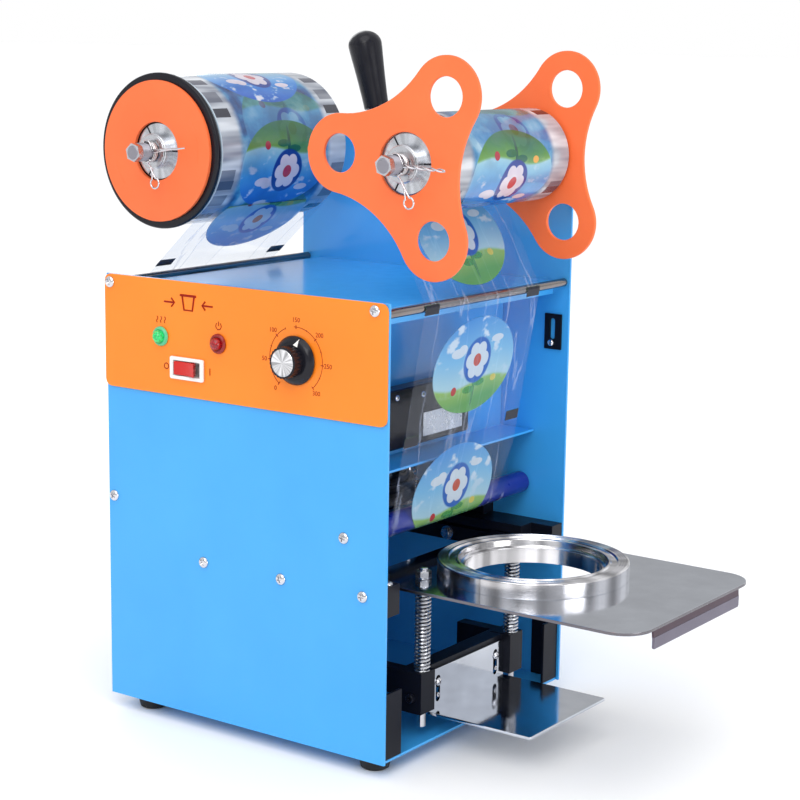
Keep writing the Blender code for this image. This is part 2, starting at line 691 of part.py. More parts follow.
def build_reels(supply_pivot, take_up_pivot):
    """Both reels: a hub sleeve on the spindle, the film wound on it, and its side discs."""
    near = DISC_NEAR_X
    roll_x = FILM_HALF_WIDTH
    ring_disc(
        "supply_disc", near, near + DISC_GAUGE, DISC_HOLE_R, SUPPLY_DISC_R, SUPPLY, "orange_plastic",
        supply_pivot)
    plate_x = near + DISC_GAUGE + GAP
    ring_disc(
        "supply_flange", plate_x, plate_x + 0.004, HUB_R + GAP, SUPPLY_FLANGE_R, SUPPLY,
        "black_plastic", supply_pivot)
    ring_disc(
        "supply_film_roll", -roll_x, roll_x, HUB_R + GAP, SUPPLY_ROLL_R, SUPPLY, "printed_film",
        supply_pivot)
    ring_disc(
        "take_up_film_roll", -roll_x, roll_x, HUB_R + GAP, TAKE_UP_ROLL_R, TAKE_UP, "printed_film",
        take_up_pivot)

    lobed_disc("take_up_disc_near", near, math.pi - math.radians(55), take_up_pivot)
    lobed_disc("take_up_disc_far", DISC_FAR_X, math.pi - math.radians(60), take_up_pivot)

    for name, place, low_x, pivot in (("supply_hub", SUPPLY, plate_x, supply_pivot),
                                      ("take_up_hub", TAKE_UP, near + DISC_GAUGE + GAP, take_up_pivot)):
        far = DISC_FAR_X - GAP
        flange = far - 0.0018
        profile = [
            (HUB_BORE_R, near - 0.0035), (HUB_NOSE_R, near - 0.0035), (HUB_NOSE_R, low_x - GAP),
            (HUB_R, low_x - GAP), (HUB_R, flange), (HUB_FLANGE_R, flange), (HUB_FLANGE_R, far),
            (HUB_BORE_R, far)
        ]
        turned(name, profile, "X", place, "aluminium", pivot, 24)


def build_rollers(pivots):
    """The two blue guide rollers that hold the film flat under the head."""
    for name, place, pivot in (
        ("front_roller", FRONT_ROLLER, pivots[0]), ("rear_roller", REAR_ROLLER, pivots[1])
    ):
        end = 0.1040
        journal = INNER_X - 0.0006
        profile = [
            (0, -journal), (0.003, -journal), (0.003, -end), (ROLLER_R - 0.001, -end),
            (ROLLER_R, -end + 0.001)
        ]
        profile += [(radius, -along) for radius, along in reversed(profile)]
        turned(name, profile, "X", place, "blue_roller", pivot, 24)


# ---------------------------------------------------------------- lever, cam and heating head
def cam_outline():
    """A cam whose lift is in proportion to its turn, for a flat pad below it.

    The distance from the shaft to the pad grows by PRESS_RATE for each radian, so the outline is an involute
    over the lever's swing and a plain circle elsewhere.
    """
    rise_steps = 16
    back_steps = 20
    points = []
    for k in range(rise_steps + 1):
        turn = LEVER_SWING * k / rise_steps
        lift = CAM_R + PRESS_RATE * turn
        normal = Vector((-math.sin(turn), -math.cos(turn)))
        forward = Vector((-math.cos(turn), math.sin(turn)))
        points.append(lift * normal + PRESS_RATE * forward)
    tip = points[-1]
    tip_angle = math.atan2(tip.y, tip.x)
    heel = math.radians(-80)
    sweep = (heel - tip_angle) % math.tau
    sweep -= math.tau
    for k in range(1, back_steps):
        part = k / back_steps
        angle = tip_angle + sweep * part
        radius = CAM_R + (tip.length - CAM_R) * max(0.0, 1 - part / 0.45) ** 2 * (1 + 2 * part / 0.45)
        points.append(radius * Vector((math.cos(angle), math.sin(angle))))
    return [(SHAFT[0] + p.x, SHAFT[1] + p.y) for p in points]


def build_lever(pivot):
    """Main shaft with its cam, and the lever outside the cabinet."""
    outer = LEVER_X + 0.010
    inner = SHAFT_INNER_X
    profile = [
        (0, inner), (SHAFT_R, inner), (SHAFT_R, outer), (SHAFT_R - 0.001, outer + 0.0015),
        (0, outer + 0.0015)
    ]
    turned("main_shaft", profile, "X", SHAFT, "turned_steel", pivot, 24)
    cam = prism("press_cam", cam_outline(), "X", -CAM_HALF_WIDTH, CAM_HALF_WIDTH, "turned_steel", pivot)
    bore = round_cutter(
        "cam_bore", SHAFT_R + GAP, "X", SHAFT, -2 * CAM_HALF_WIDTH, 2 * CAM_HALF_WIDTH, pivot)
    subtract(cam, bore)

    low = Vector((LEVER_X, *GRIP_LOW))
    high = Vector((LEVER_X, *GRIP_HIGH))
    foot = Vector((LEVER_X, *SHAFT))
    hub_x = (LEVER_X - LEVER_HUB_HALF, LEVER_X + LEVER_HUB_HALF)
    bore_r = SHAFT_R + GAP
    profile = [(bore_r, hub_x[0]), (LEVER_HUB_R, hub_x[0]), (LEVER_HUB_R, hub_x[1]), (bore_r, hub_x[1])]
    hub = turned("lever_arm", profile, "X", SHAFT, "turned_steel", pivot, 32)
    aim = (high - foot).normalized()
    grip_start = (low - foot).dot(aim)
    stub = [
        (0, 0.0125), (LEVER_ROD_R, 0.0125), (LEVER_ROD_R, grip_start - 0.016),
        (LEVER_SOCKET_R, grip_start - 0.014), (LEVER_SOCKET_R, grip_start - GAP), (0, grip_start - GAP),
    ]
    join_into(hub, along_line("lever_rod", stub, foot, aim, None, pivot))

    length = (high - foot).length
    grip = [
        (0, grip_start), (GRIP_LOW_R - 0.001, grip_start), (GRIP_LOW_R, grip_start + 0.001),
        (GRIP_LOW_R, grip_start + 0.004), (0.0107, grip_start + 0.024),
        (GRIP_HIGH_R, length - GRIP_DOME)
    ]
    for k in range(1, 6):
        angle = math.pi / 2 * k / 6
        grip.append((GRIP_HIGH_R * math.cos(angle), length - GRIP_DOME + 0.0105 * math.sin(angle)))
    grip.append((0, length - 0.0015))
    along_line("lever_grip", grip, foot, aim, "black_plastic", pivot)


def along_line(name, profile, start, aim, material, pivot, segments=20):
    """A body of revolution about a slanted line that starts at a point."""
    obj = turned(name, profile, "Z", (0, 0), material, pivot, segments)
    offset = Vector(pivot["machine_location"])
    turn = Vector((0, 0, 1)).rotation_difference(aim).to_matrix().to_4x4()
    obj.data.transform(Matrix.Translation(start - offset) @ turn @ Matrix.Translation(offset))
    return obj


def build_head_frame(root):
    """Posts and bridge that guide the heating head and hold the inner end of the shaft."""
    for name, side in (("left", -1), ("right", 1)):
        profile = [
            (0, DIE_HIGH + GAP), (POST_R, DIE_HIGH + GAP), (POST_R, BRIDGE_LOW - GAP),
            (0, BRIDGE_LOW - GAP)
        ]
        turned(f"head_post_{name}", profile, "Z", (side * POST_X, 0), "turned_steel", root, 20)
    bridge_low = (-BRIDGE_HALF_WIDTH, BRIDGE_Y[0], BRIDGE_LOW)
    bridge = box(
        "head_bridge", bridge_low, (BRIDGE_HALF_WIDTH, BRIDGE_Y[1], BRIDGE_HIGH), "black_steel", root)
    hanger_low = (HANGER_X[0], HANGER_Y[0], SHAFT[1] - 0.012)
    hanger_high = (HANGER_X[1], HANGER_Y[1], BRIDGE_LOW + 0.002)
    join_into(bridge, box("shaft_hanger", hanger_low, hanger_high, None, root))
    subtract(bridge, round_cutter("hanger_bore", SHAFT_R + GAP, "X", SHAFT, -0.040, -0.010, root))


def build_head(pivot):
    """The sliding carrier with the heating head, and its two return springs."""
    carrier_low = (-BRIDGE_HALF_WIDTH, -CARRIER_HALF_DEPTH, CARRIER_LOW)
    carrier_high = (BRIDGE_HALF_WIDTH, CARRIER_HALF_DEPTH, CARRIER_TOP)
    carrier = box("head_carrier", carrier_low, carrier_high, "black_steel", pivot, 0.001)
    for side in (-1, 1):
        bore = round_cutter(
            f"carrier_bore_{side}", POST_R + GAP, "Z", (side * POST_X, 0), CARRIER_LOW - 0.01,
            CARRIER_TOP + 0.01, pivot, 20)
        subtract(carrier, bore)
    top = CARRIER_LOW - GAP
    profile = [
        (0, HEAD_REST), (HEAD_R - 0.002, HEAD_REST), (HEAD_R, HEAD_REST + 0.001),
        (HEAD_R, HEAD_REST + 0.014), (HEAD_STEP_R, HEAD_REST + 0.014),
        (HEAD_STEP_R, HEAD_REST + 0.019), (HEAD_STEM_R, HEAD_REST + 0.019), (HEAD_STEM_R, top),
        (0, top)
    ]
    turned("heating_head", profile, "Z", (0, 0), "aluminium", pivot, 48)
    for name, side in (("left", -1), ("right", 1)):
        coil_spring(
            f"head_spring_{name}", (side * POST_X, 0), DIE_HIGH + GAP, CARRIER_LOW - GAP, 0.0080,
            0.0008, 5, pivot)


# ---------------------------------------------------------------- drawer and cup rest
def build_drawer(pivot):
    """The sliding plate with its mould ring and the two rods that hang from it."""
    low = PLATE_TOP - PLATE_GAUGE
    rear_corner = (PLATE_HALF_WIDTH, PLATE_REAR)
    front_corners = (True, True, False, False)
    outline = rounded_outline(
        (-PLATE_HALF_WIDTH, PLATE_FRONT), rear_corner, PLATE_CORNER_R, 8, front_corners)
    plate = prism("slide_plate", outline, "Z", low, PLATE_TOP, "mirror_steel", pivot)
    lip_low = (-LIP_HALF_WIDTH, PLATE_FRONT + GAP, PLATE_TOP - LIP_DROP)
    lip_high = (LIP_HALF_WIDTH, PLATE_FRONT + GAUGE, PLATE_TOP - 0.0005)
    join_into(plate, box("plate_lip", lip_low, lip_high, None, pivot))
    centre = (0, RING_CENTRE_Y)
    cut_z = (low - 0.01, PLATE_TOP + 0.01)
    subtract(plate, round_cutter("plate_hole", PLATE_HOLE_R, "Z", centre, *cut_z, pivot, 48))
    for side in (-1, 1):
        place = (side * ROD_X, ROD_Y)
        subtract(
            plate,
            round_cutter(f"plate_rod_hole_{side}", HANG_ROD_R + GAP, "Z", place, *cut_z, pivot, 16))

    collar = low - 0.003
    neck_r = RING_BORE_R + 0.004
    seat_r = RING_BORE_R - 0.004
    profile = [
        (seat_r, collar), (neck_r, collar), (neck_r, PLATE_TOP + GAP), (RING_OUTER_R, PLATE_TOP + GAP),
        (RING_OUTER_R, RING_TOP - 0.0008), (RING_OUTER_R - 0.0008, RING_TOP), (0.0555, RING_TOP),
        (0.0545, RING_TOP - 0.0012), (RING_BORE_R + 0.001, RING_TOP - 0.0003),
        (RING_BORE_R, RING_TOP - 0.004), (seat_r, RING_TOP - 0.005)
    ]
    turned("ring_mould", profile, "Z", centre, "turned_steel", pivot, 48)

    for name, side in (("left", -1), ("right", 1)):
        nut_low = PLATE_TOP + GAP
        profile = [
            (0, HANG_ROD_LOW), (HANG_ROD_R - 0.0005, HANG_ROD_LOW),
            (HANG_ROD_R, HANG_ROD_LOW + 0.0005), (HANG_ROD_R, nut_low), (0.0053, nut_low),
            (0.0053, nut_low + 0.0050), (HANG_ROD_R, nut_low + 0.0050), (HANG_ROD_R, nut_low + 0.0066),
            (0, nut_low + 0.0070)
        ]
        turned(f"hanging_rod_{name}", profile, "Z", (side * ROD_X, ROD_Y), "turned_steel", pivot, 16)


def build_cup_rest(pivot):
    """The adjustable rest below the ring: a black frame on the rods, a bent plate and two springs."""
    inner = ROD_X - BLOCK_HALF
    outer = ROD_X + BLOCK_HALF
    arm_inner = ROD_X - 0.003
    arm_outer = ROD_X + 0.007
    bar = (-0.1067, -0.0940)
    outline = [
        (-inner - 0.001, bar[0]), (inner + 0.001, bar[0]), (inner + 0.001, -0.100), (arm_outer, -0.100),
        (arm_outer, ARM_REAR), (arm_inner, ARM_REAR), (arm_inner, bar[1]), (-arm_inner, bar[1]),
        (-arm_inner, ARM_REAR), (-arm_outer, ARM_REAR), (-arm_outer, -0.100), (-inner - 0.001, -0.100),
    ]
    frame = prism("rest_frame", outline, "Z", 0.040, BLOCK_Z[1] - 0.0005, "black_steel", pivot)
    for name, side in (("left", -1), ("right", 1)):
        x = sorted((side * inner, side * outer))
        join_into(
            frame,
            box(
                f"rest_block_{name}", (x[0], BLOCK_Y[0], BLOCK_Z[0]), (x[1], BLOCK_Y[1], BLOCK_Z[1]),
                None, pivot))
    for side in (-1, 1):
        place = (side * ROD_X, ROD_Y)
        cut_z = (BLOCK_Z[0] - 0.01, BLOCK_Z[1] + 0.01)
        subtract(
            frame, round_cutter(f"rest_bore_{side}", HANG_ROD_R + GAP, "Z", place, *cut_z, pivot, 16))

    floor_low = (-PLATFORM_HALF_WIDTH, PLATFORM_FRONT, PLATFORM_TOP - GAUGE)
    floor_high = (PLATFORM_HALF_WIDTH, FLANGE_Y[1], PLATFORM_TOP)
    rest = box("cup_platform", floor_low, floor_high, "mirror_steel", pivot)
    flange_low = (-FLANGE_HALF_WIDTH, FLANGE_Y[0], PLATFORM_TOP - GAUGE / 2)
    flange_high = (FLANGE_HALF_WIDTH, FLANGE_Y[1], FLANGE_TOP)
    join_into(rest, box("platform_flange", flange_low, flange_high, None, pivot))
    for side in (-1, 1):
        outline = slot_outline((side * FLANGE_SLOT[0], FLANGE_SLOT[1]), 0.0024, 0.0090)
        slot = prism(
            f"platform_slot_{side}", outline, "Y", FLANGE_Y[0] - 0.004, FLANGE_Y[1] + 0.004, None,
            pivot)
        subtract(rest, slot)

    for name, side in (("left", -1), ("right", 1)):
        coil_spring(
            f"rest_spring_{name}", (side * ROD_X, ROD_Y), BLOCK_Z[1] + GAP,
            PLATE_TOP - PLATE_GAUGE - GAP, SPRING_R, SPRING_WIRE_R, 12, pivot)


# ---------------------------------------------------------------- controls
def build_controls(switch_pivot, knob_pivot):
    """The pieces of the control panel that a finger moves."""
    y, z = SWITCH
    pivot_x = switch_pivot["machine_location"][0]
    tilt = math.radians(-8)
    face = [(-0.0042, -0.0100), (-0.0022, 0.0), (-0.0042, 0.0100), (0.0025, 0.0050), (0.0025, -0.0050)]
    outline = []
    for out, along in face:
        turned_out = out * math.cos(tilt) - along * math.sin(tilt)
        turned_along = out * math.sin(tilt) + along * math.cos(tilt)
        outline.append((pivot_x + turned_out, y + turned_along))
    prism("switch_rocker", outline, "Z", z - 0.0045, z + 0.0045, "red_plastic", switch_pivot)

    face_x = CONTROL_FACE_X - GAP
    profile = [
        (0, -0.0935), (0.0030, -0.0935), (0.0030, face_x - 0.0004), (0.0155, face_x - 0.0004),
        (0.0158, face_x - 0.0010), (0.0140, face_x - 0.0035), (0.0112, face_x - 0.0045),
        (0.0100, face_x - 0.0130), (0.0092, face_x - 0.0140), (0, face_x - 0.0140)
    ]
    turned("temperature_knob", profile, "X", KNOB, "black_plastic", knob_pivot, 24)


def main():
    for obj in list(bpy.data.objects):
        bpy.data.objects.remove(obj, do_unlink=True)

    root = empty_at("machine", (0.0, 0.0, 0.0))
    root.location = ORIGIN_SHIFT
    build_cabinet(root)
    build_fittings(root)
    build_spindles(root)
    build_film(root)
    build_head_frame(root)

    supply = empty_at("supply_axis", (0.0, *SUPPLY), root)
    take_up = empty_at("take_up_axis", (0.0, *TAKE_UP), root)
    build_reels(supply, take_up)
    rollers = [empty_at("front_roller_axis", (0.0, *FRONT_ROLLER), root),
               empty_at("rear_roller_axis", (0.0, *REAR_ROLLER), root)]
    build_rollers(rollers)

    build_lever(empty_at("lever_axis", (0.0, *SHAFT), root))
    build_head(empty_at("head_axis", (0.0, 0.0, HEAD_REST), root))
    drawer = empty_at("drawer_axis", (0.0, RING_CENTRE_Y, PLATE_TOP), root)
    build_drawer(drawer)
    build_cup_rest(empty_at("cup_rest_axis", (0.0, ROD_Y, BLOCK_Z[1]), drawer))
    build_controls(empty_at("switch_axis", (CONTROL_FACE_X, *SWITCH), root),
                   empty_at("knob_axis", (CONTROL_FACE_X, *KNOB), root))


main()
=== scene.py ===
"""The finished look of the cup sealing machine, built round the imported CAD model.

The machine frame of this script is the CAD's: x = 0 midway between the side panels, y = 0 midway along them
and z = 0 on the table. at() turns a place in it into the row frame. All sizes are metres.
"""

import math

import bmesh
import bpy
from mathutils import Matrix, Vector


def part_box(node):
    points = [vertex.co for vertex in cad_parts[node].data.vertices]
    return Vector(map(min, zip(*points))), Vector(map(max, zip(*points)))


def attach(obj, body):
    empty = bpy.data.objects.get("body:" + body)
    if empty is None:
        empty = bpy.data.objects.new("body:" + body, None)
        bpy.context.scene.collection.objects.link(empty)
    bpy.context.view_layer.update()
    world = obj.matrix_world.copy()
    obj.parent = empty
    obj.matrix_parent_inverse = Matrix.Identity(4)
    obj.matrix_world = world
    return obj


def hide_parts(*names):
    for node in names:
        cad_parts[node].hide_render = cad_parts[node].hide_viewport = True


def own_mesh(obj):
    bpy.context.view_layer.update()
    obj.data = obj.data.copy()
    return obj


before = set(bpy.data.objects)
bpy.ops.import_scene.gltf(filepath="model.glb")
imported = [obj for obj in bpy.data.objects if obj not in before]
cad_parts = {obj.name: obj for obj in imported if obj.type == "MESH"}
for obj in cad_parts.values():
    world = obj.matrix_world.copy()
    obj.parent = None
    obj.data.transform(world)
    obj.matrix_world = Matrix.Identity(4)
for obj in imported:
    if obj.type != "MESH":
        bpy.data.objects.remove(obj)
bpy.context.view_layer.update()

LEFT_LOW, LEFT_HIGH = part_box("left_side_panel")
RIGHT_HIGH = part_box("right_side_panel")[1]
MACHINE_X = (LEFT_LOW.x + RIGHT_HIGH.x) / 2
MACHINE_Y = (LEFT_LOW.y + LEFT_HIGH.y) / 2


def at(x, y, z):
    """A place in the machine frame, in the row frame."""
    return Vector((x + MACHINE_X, y + MACHINE_Y, z))


def machine_box(node):
    """A CAD node's box in the machine frame."""
    low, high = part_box(node)
    shift = Vector((MACHINE_X, MACHINE_Y, 0))
    return low - shift, high - shift


def middle(low, high, axes="yz"):
    """The middle of a box across two of its axes."""
    return tuple((getattr(low, axis) + getattr(high, axis)) / 2 for axis in axes)


# ---------------------------------------------------------------- camera, light and floor
CAMERA_LENS = 88.3               # mm, on the sensor below
CAMERA_SENSOR = 36.0
CAMERA_AZIMUTH = math.radians(-54.62)
CAMERA_ELEVATION = math.radians(10.63)
CAMERA_ROLL = math.radians(0.80)
CAMERA_PLACE = (-1.0665, -0.8073, 0.4685)
LIGHT_AIM = (0.0, -0.05, 0.22)
FLOOR_REACH = 40.0


def build_stage():
    """A camera fitted to the photo, which is stretched sideways itself; soft light and a pale floor."""
    camera = bpy.data.cameras.new("camera")
    camera.lens = CAMERA_LENS
    camera.sensor_width = CAMERA_SENSOR
    camera.clip_start = 0.05
    camera_object = bpy.data.objects.new("camera", camera)
    bpy.context.collection.objects.link(camera_object)
    azimuth, elevation, roll = CAMERA_AZIMUTH, CAMERA_ELEVATION, CAMERA_ROLL
    back = Vector(
        (
            math.sin(azimuth) * math.cos(elevation), -math.cos(azimuth) * math.cos(elevation),
            math.sin(elevation)))
    right = Vector((0, 0, 1)).cross(back).normalized()
    up = back.cross(right)
    turned_right = right * math.cos(roll) + up * math.sin(roll)
    turned_up = up * math.cos(roll) - right * math.sin(roll)
    rotation = Matrix((turned_right, turned_up, back)).transposed()
    camera_object.matrix_world = Matrix.Translation(at(*CAMERA_PLACE)) @ rotation.to_4x4()
    bpy.context.scene.camera = camera_object

    aim = at(*LIGHT_AIM)
    for name, place, size, power, tint in (
        ("key_light", (-1.7, -0.9, 1.3), 0.9, 9, (1.0, 0.99, 0.97)),
        ("front_light", (-0.3, -2.2, 0.35), 0.9, 11, (1.0, 1.0, 1.0)),
        ("rear_light", (1.2, 1.8, 1.3), 1.2, 8, (0.97, 0.99, 1.0)),
    ):
        light = bpy.data.lights.new(name, "AREA")
        light.shape = "SQUARE"
        light.size = size
        light.energy = power
        light.color = tint
        light_object = bpy.data.objects.new(name, light)
        bpy.context.collection.objects.link(light_object)
        place = at(*place)
        light_object.matrix_world = (
            Matrix.Translation(place) @ (aim - place).to_track_quat("-Z", "Y").to_matrix().to_4x4())
    sun = bpy.data.lights.new("overhead_light", "SUN")
    sun.energy = 1.15
    sun.angle = math.radians(55)
    sun_object = bpy.data.objects.new("overhead_light", sun)
    bpy.context.collection.objects.link(sun_object)
    sun_object.rotation_euler = Vector((1.0, 0.55, -1.9)).to_track_quat("-Z", "Y").to_euler()

    world = bpy.data.worlds.new("studio")
    bpy.context.scene.world = world
    world.use_nodes = True
    tree = Tree(world.node_tree)
    background = world.node_tree.nodes["Background"]
    direction = tree.node("ShaderNodeTexCoord").outputs["Generated"]
    parts = tree.node("ShaderNodeSeparateXYZ", Vector=direction)
    bands = tree.node(
        "ShaderNodeTexNoise", Vector=tree.scale(direction, (3.2, 3.2, 0.5)), Scale=1.0, Detail=1.0)
    bands = tree.ramp(bands.outputs["Fac"], ((0.40, (0.10, 0.105, 0.12, 1)), (0.58, (0.95, 0.97, 1.0, 1))))
    lower = tree.ramp(parts.outputs["Z"], ((0.0, (0.55, 0.56, 0.58, 1)), (0.35, (1, 1, 1, 1))))
    reflected = tree.mix(0.5, lower, bands)
    light_path = tree.node("ShaderNodeLightPath").outputs
    seen = tree.mix(light_path["Is Glossy Ray"], (0.78, 0.785, 0.80, 1), reflected)
    tree.link(tree.mix(light_path["Is Camera Ray"], seen, (1.0, 1.0, 1.0, 1)), background.inputs["Color"])
    background.inputs["Strength"].default_value = 1.0

    floor_mesh = bpy.data.meshes.new("floor")
    far = FLOOR_REACH
    floor_mesh.from_pydata(
        [(-far, -far, 0), (far, -far, 0), (far, far, 0), (-far, far, 0)], [], [(0, 1, 2, 3)])
    floor = bpy.data.objects.new("floor", floor_mesh)
    bpy.context.collection.objects.link(floor)
    floor_mesh.materials.append(
        finish("floor_paint", (0.98, 0.98, 0.98), 0.60, 0.0, Specular_IOR_Level=0.1))
    bpy.context.scene.view_settings.view_transform = "Standard"


# ---------------------------------------------------------------- shader helpers
class Tree:
    """Short names for making shader nodes."""

    def __init__(self, node_tree):
        self.nodes = node_tree.nodes
        self.links = node_tree.links

    def link(self, source, target):
        self.links.new(source, target)

    def node(self, kind, **inputs):
        made = self.nodes.new(kind)
        for name, value in inputs.items():
            self.put(value, made.inputs[name.replace("_", " ")])
        return made

    def put(self, value, socket):
        if isinstance(value, bpy.types.NodeSocket):
            self.link(value, socket)
        else:
            socket.default_value = value

    def math(self, operation, first, second=0.0, third=0.0):
        made = self.nodes.new("ShaderNodeMath")
        made.operation = operation
        for value, socket in zip((first, second, third), made.inputs):
            self.put(value, socket)
        return made.outputs[0]

    def scale(self, vector, factors):
        made = self.nodes.new("ShaderNodeVectorMath")
        made.operation = "MULTIPLY"
        self.put(vector, made.inputs[0])
        made.inputs[1].default_value = factors
        return made.outputs[0]

    def ramp(self, factor, stops):
        made = self.nodes.new("ShaderNodeValToRGB")
        self.put(factor, made.inputs[0])
        elements = made.color_ramp.elements
        while len(elements) < len(stops):
            elements.new(0.5)
        for element, (position, colour) in zip(elements, stops):
            element.position = position
            element.color = colour
        return made.outputs["Color"]

    def mix(self, factor, first, second, blend="MIX"):
        made = self.nodes.new("ShaderNodeMix")
        made.data_type = "RGBA"
        made.blend_type = blend
        self.put(factor, made.inputs["Factor"])
        self.put(first, made.inputs[6])
        self.put(second, made.inputs[7])
        return made.outputs[2]

    def multiply(self, first, second):
        return self.mix(1.0, first, second, "MULTIPLY")

    def line_noise(self, value, detail=2.0):
        """Noise that changes along one number only."""
        made = self.nodes.new("ShaderNodeTexNoise")
        made.noise_dimensions = "1D"
        self.put(value, made.inputs["W"])
        made.inputs["Scale"].default_value = 1.0
        made.inputs["Detail"].default_value = detail
        return made.outputs["Fac"]

    def range(self, value, low, high):
        """The middle of a noise, spread from low to high."""
        made = self.nodes.new("ShaderNodeMapRange")
        self.put(value, made.inputs["Value"])
        made.inputs["From Min"].default_value = 0.3
        made.inputs["From Max"].default_value = 0.7
        made.inputs["To Min"].default_value = low
        made.inputs["To Max"].default_value = high
        return made.outputs["Result"]

    def below(self, value, limit, softness=0.02):
        """1 where a value is under a limit, 0 over it, with a soft step."""
        made = self.nodes.new("ShaderNodeMapRange")
        made.interpolation_type = "SMOOTHSTEP"
        self.put(value, made.inputs["Value"])
        made.inputs["From Min"].default_value = limit - softness
        made.inputs["From Max"].default_value = limit + softness
        made.inputs["To Min"].default_value = 1.0
        made.inputs["To Max"].default_value = 0.0
        return made.outputs["Result"]

    def noise(self, vector, scale, detail=2.0):
        return self.node("ShaderNodeTexNoise", Vector=vector, Scale=scale, Detail=detail).outputs["Fac"]

    def place(self):
        return self.node("ShaderNodeTexCoord").outputs["Object"]

    def bump(self, height, strength, distance, shader):
        made = self.node("ShaderNodeBump", Height=height, Strength=strength, Distance=distance)
        self.link(made.outputs["Normal"], shader.inputs["Normal"])


def finish(name, colour, roughness, metallic, **settings):
    """A Principled material with constant values, ready for its texture nodes."""
    material = bpy.data.materials.new(name)
    material.use_nodes = True
    shader = material.node_tree.nodes["Principled BSDF"]
    shader.inputs["Base Color"].default_value = (*colour, 1.0)
    shader.inputs["Roughness"].default_value = roughness
    shader.inputs["Metallic"].default_value = metallic
    for key, value in settings.items():
        shader.inputs[key.replace("_", " ")].default_value = value
    return material


def shader_of(material):
    return Tree(material.node_tree), material.node_tree.nodes["Principled BSDF"]


def mottled(tree, shader, vector, colour, shade, scale):
    """Vary a base colour gently between itself and a second shade of it."""
    cloud = tree.noise(vector, scale, 3.0)
    tree.link(
        tree.mix(tree.range(cloud, 0.0, 1.0), (*colour, 1.0), (*shade, 1.0)), shader.inputs["Base Color"])


def powder_coat(name, colour, shade, roughness=0.27, coat=0.5, specular=0.3):
    """Sprayed paint: a fine orange-peel surface under a thin gloss."""
    material = finish(
        name, colour, roughness, 0.0, Coat_Weight=coat, Coat_Roughness=0.12, Specular_IOR_Level=specular)
    tree, shader = shader_of(material)
    place = tree.place()
    mottled(tree, shader, place, colour, shade, 14.0)
    tree.link(
        tree.range(tree.noise(place, 90.0, 2.0), roughness - 0.02, roughness + 0.03),
        shader.inputs["Roughness"])
    tree.bump(tree.noise(place, 300.0, 1.0), 0.012, 0.0001, shader)
    return material


def moulded(name, colour, shade, roughness, coat=0.0, specular=0.35):
    """Moulded plastic with a faint grain and cloudy gloss."""
    material = finish(
        name, colour, roughness, 0.0, Coat_Weight=coat, Coat_Roughness=0.08, Specular_IOR_Level=specular)
    tree, shader = shader_of(material)
    place = tree.place()
    mottled(tree, shader, place, colour, shade, 30.0)
    tree.link(
        tree.range(tree.noise(place, 110.0, 5.0), roughness * 0.8, roughness * 1.25),
        shader.inputs["Roughness"])
    tree.bump(tree.noise(place, 1500.0, 2.0), 0.12, 0.00015, shader)
    return material


def brushed(name, colour, roughness, grain, metallic=1.0):
    """Metal with fine lines along one axis; grain stretches the noise that makes them."""
    material = finish(name, colour, roughness, metallic)
    tree, shader = shader_of(material)
    place = tree.place()
    lines = tree.noise(tree.scale(place, grain), 1.0, 4.0)
    smears = tree.noise(place, 22.0, 3.0)
    rough = tree.math(
        "ADD", tree.range(lines, roughness * 0.7, roughness * 1.3), tree.range(smears, -0.02, 0.05))
    tree.link(rough, shader.inputs["Roughness"])
    mottled(tree, shader, place, colour, tuple(c * 0.86 for c in colour), 40.0)
    tree.bump(lines, 0.06, 0.0001, shader)
    return material


def lathed(name, colour, roughness, axis, centre, painted_reflection=0.0):
    """Turned metal: rings about an axis, and, where asked, painted reflections: brighter and darker bands
    along it, in the base colour.
    """
    material = finish(name, colour, roughness, 1.0)
    tree, shader = shader_of(material)
    moved = tree.nodes.new("ShaderNodeVectorMath")
    moved.operation = "SUBTRACT"
    tree.link(tree.place(), moved.inputs[0])
    moved.inputs[1].default_value = centre
    parts = tree.node("ShaderNodeSeparateXYZ", Vector=moved.outputs[0]).outputs
    across = [parts[i] for i in range(3) if "XYZ"[i] != axis]
    along = parts["XYZ".index(axis)]
    squares = tree.math("ADD", tree.math("POWER", across[0], 2.0), tree.math("POWER", across[1], 2.0))
    radius = tree.math("SQRT", squares)
    step = tree.math("MULTIPLY", tree.math("ADD", radius, along), 2600.0)
    rings = tree.line_noise(step)
    tree.link(tree.range(rings, roughness * 0.7, roughness * 1.4), shader.inputs["Roughness"])
    tree.bump(rings, 0.12, 0.00012, shader)
    if painted_reflection:
        # painted reflection: the base colour turns darker and brighter round the axis, standing in for a
        # reflected studio
        angle = tree.math("ARCTAN2", across[1], across[0])
        circle = tree.line_noise(tree.math("MULTIPLY", angle, 2.6), 1.0)
        dark = tuple(c * (1 - painted_reflection) for c in colour)
        shades = tree.ramp(circle, ((0.38, (*dark, 1)), (0.60, (*colour, 1))))
        tree.link(shades, shader.inputs["Base Color"])
    return material


# ---------------------------------------------------------------- prints on the film
PRINT_PITCH = 0.088              # along the film, from one print to the next
PRINT_HALF_WIDTH = 0.047
PRINT_HALF_LENGTH = 0.033


def oval(tree, across, along, centre, radii, soft=0.04):
    """1 inside an ellipse of the print, 0 outside it."""
    reach_a = tree.math("DIVIDE", tree.math("SUBTRACT", across, centre[0]), radii[0])
    reach_b = tree.math("DIVIDE", tree.math("SUBTRACT", along, centre[1]), radii[1])
    reach = tree.math("ADD", tree.math("POWER", reach_a, 2.0), tree.math("POWER", reach_b, 2.0))
    return tree.below(reach, 1.0, soft)


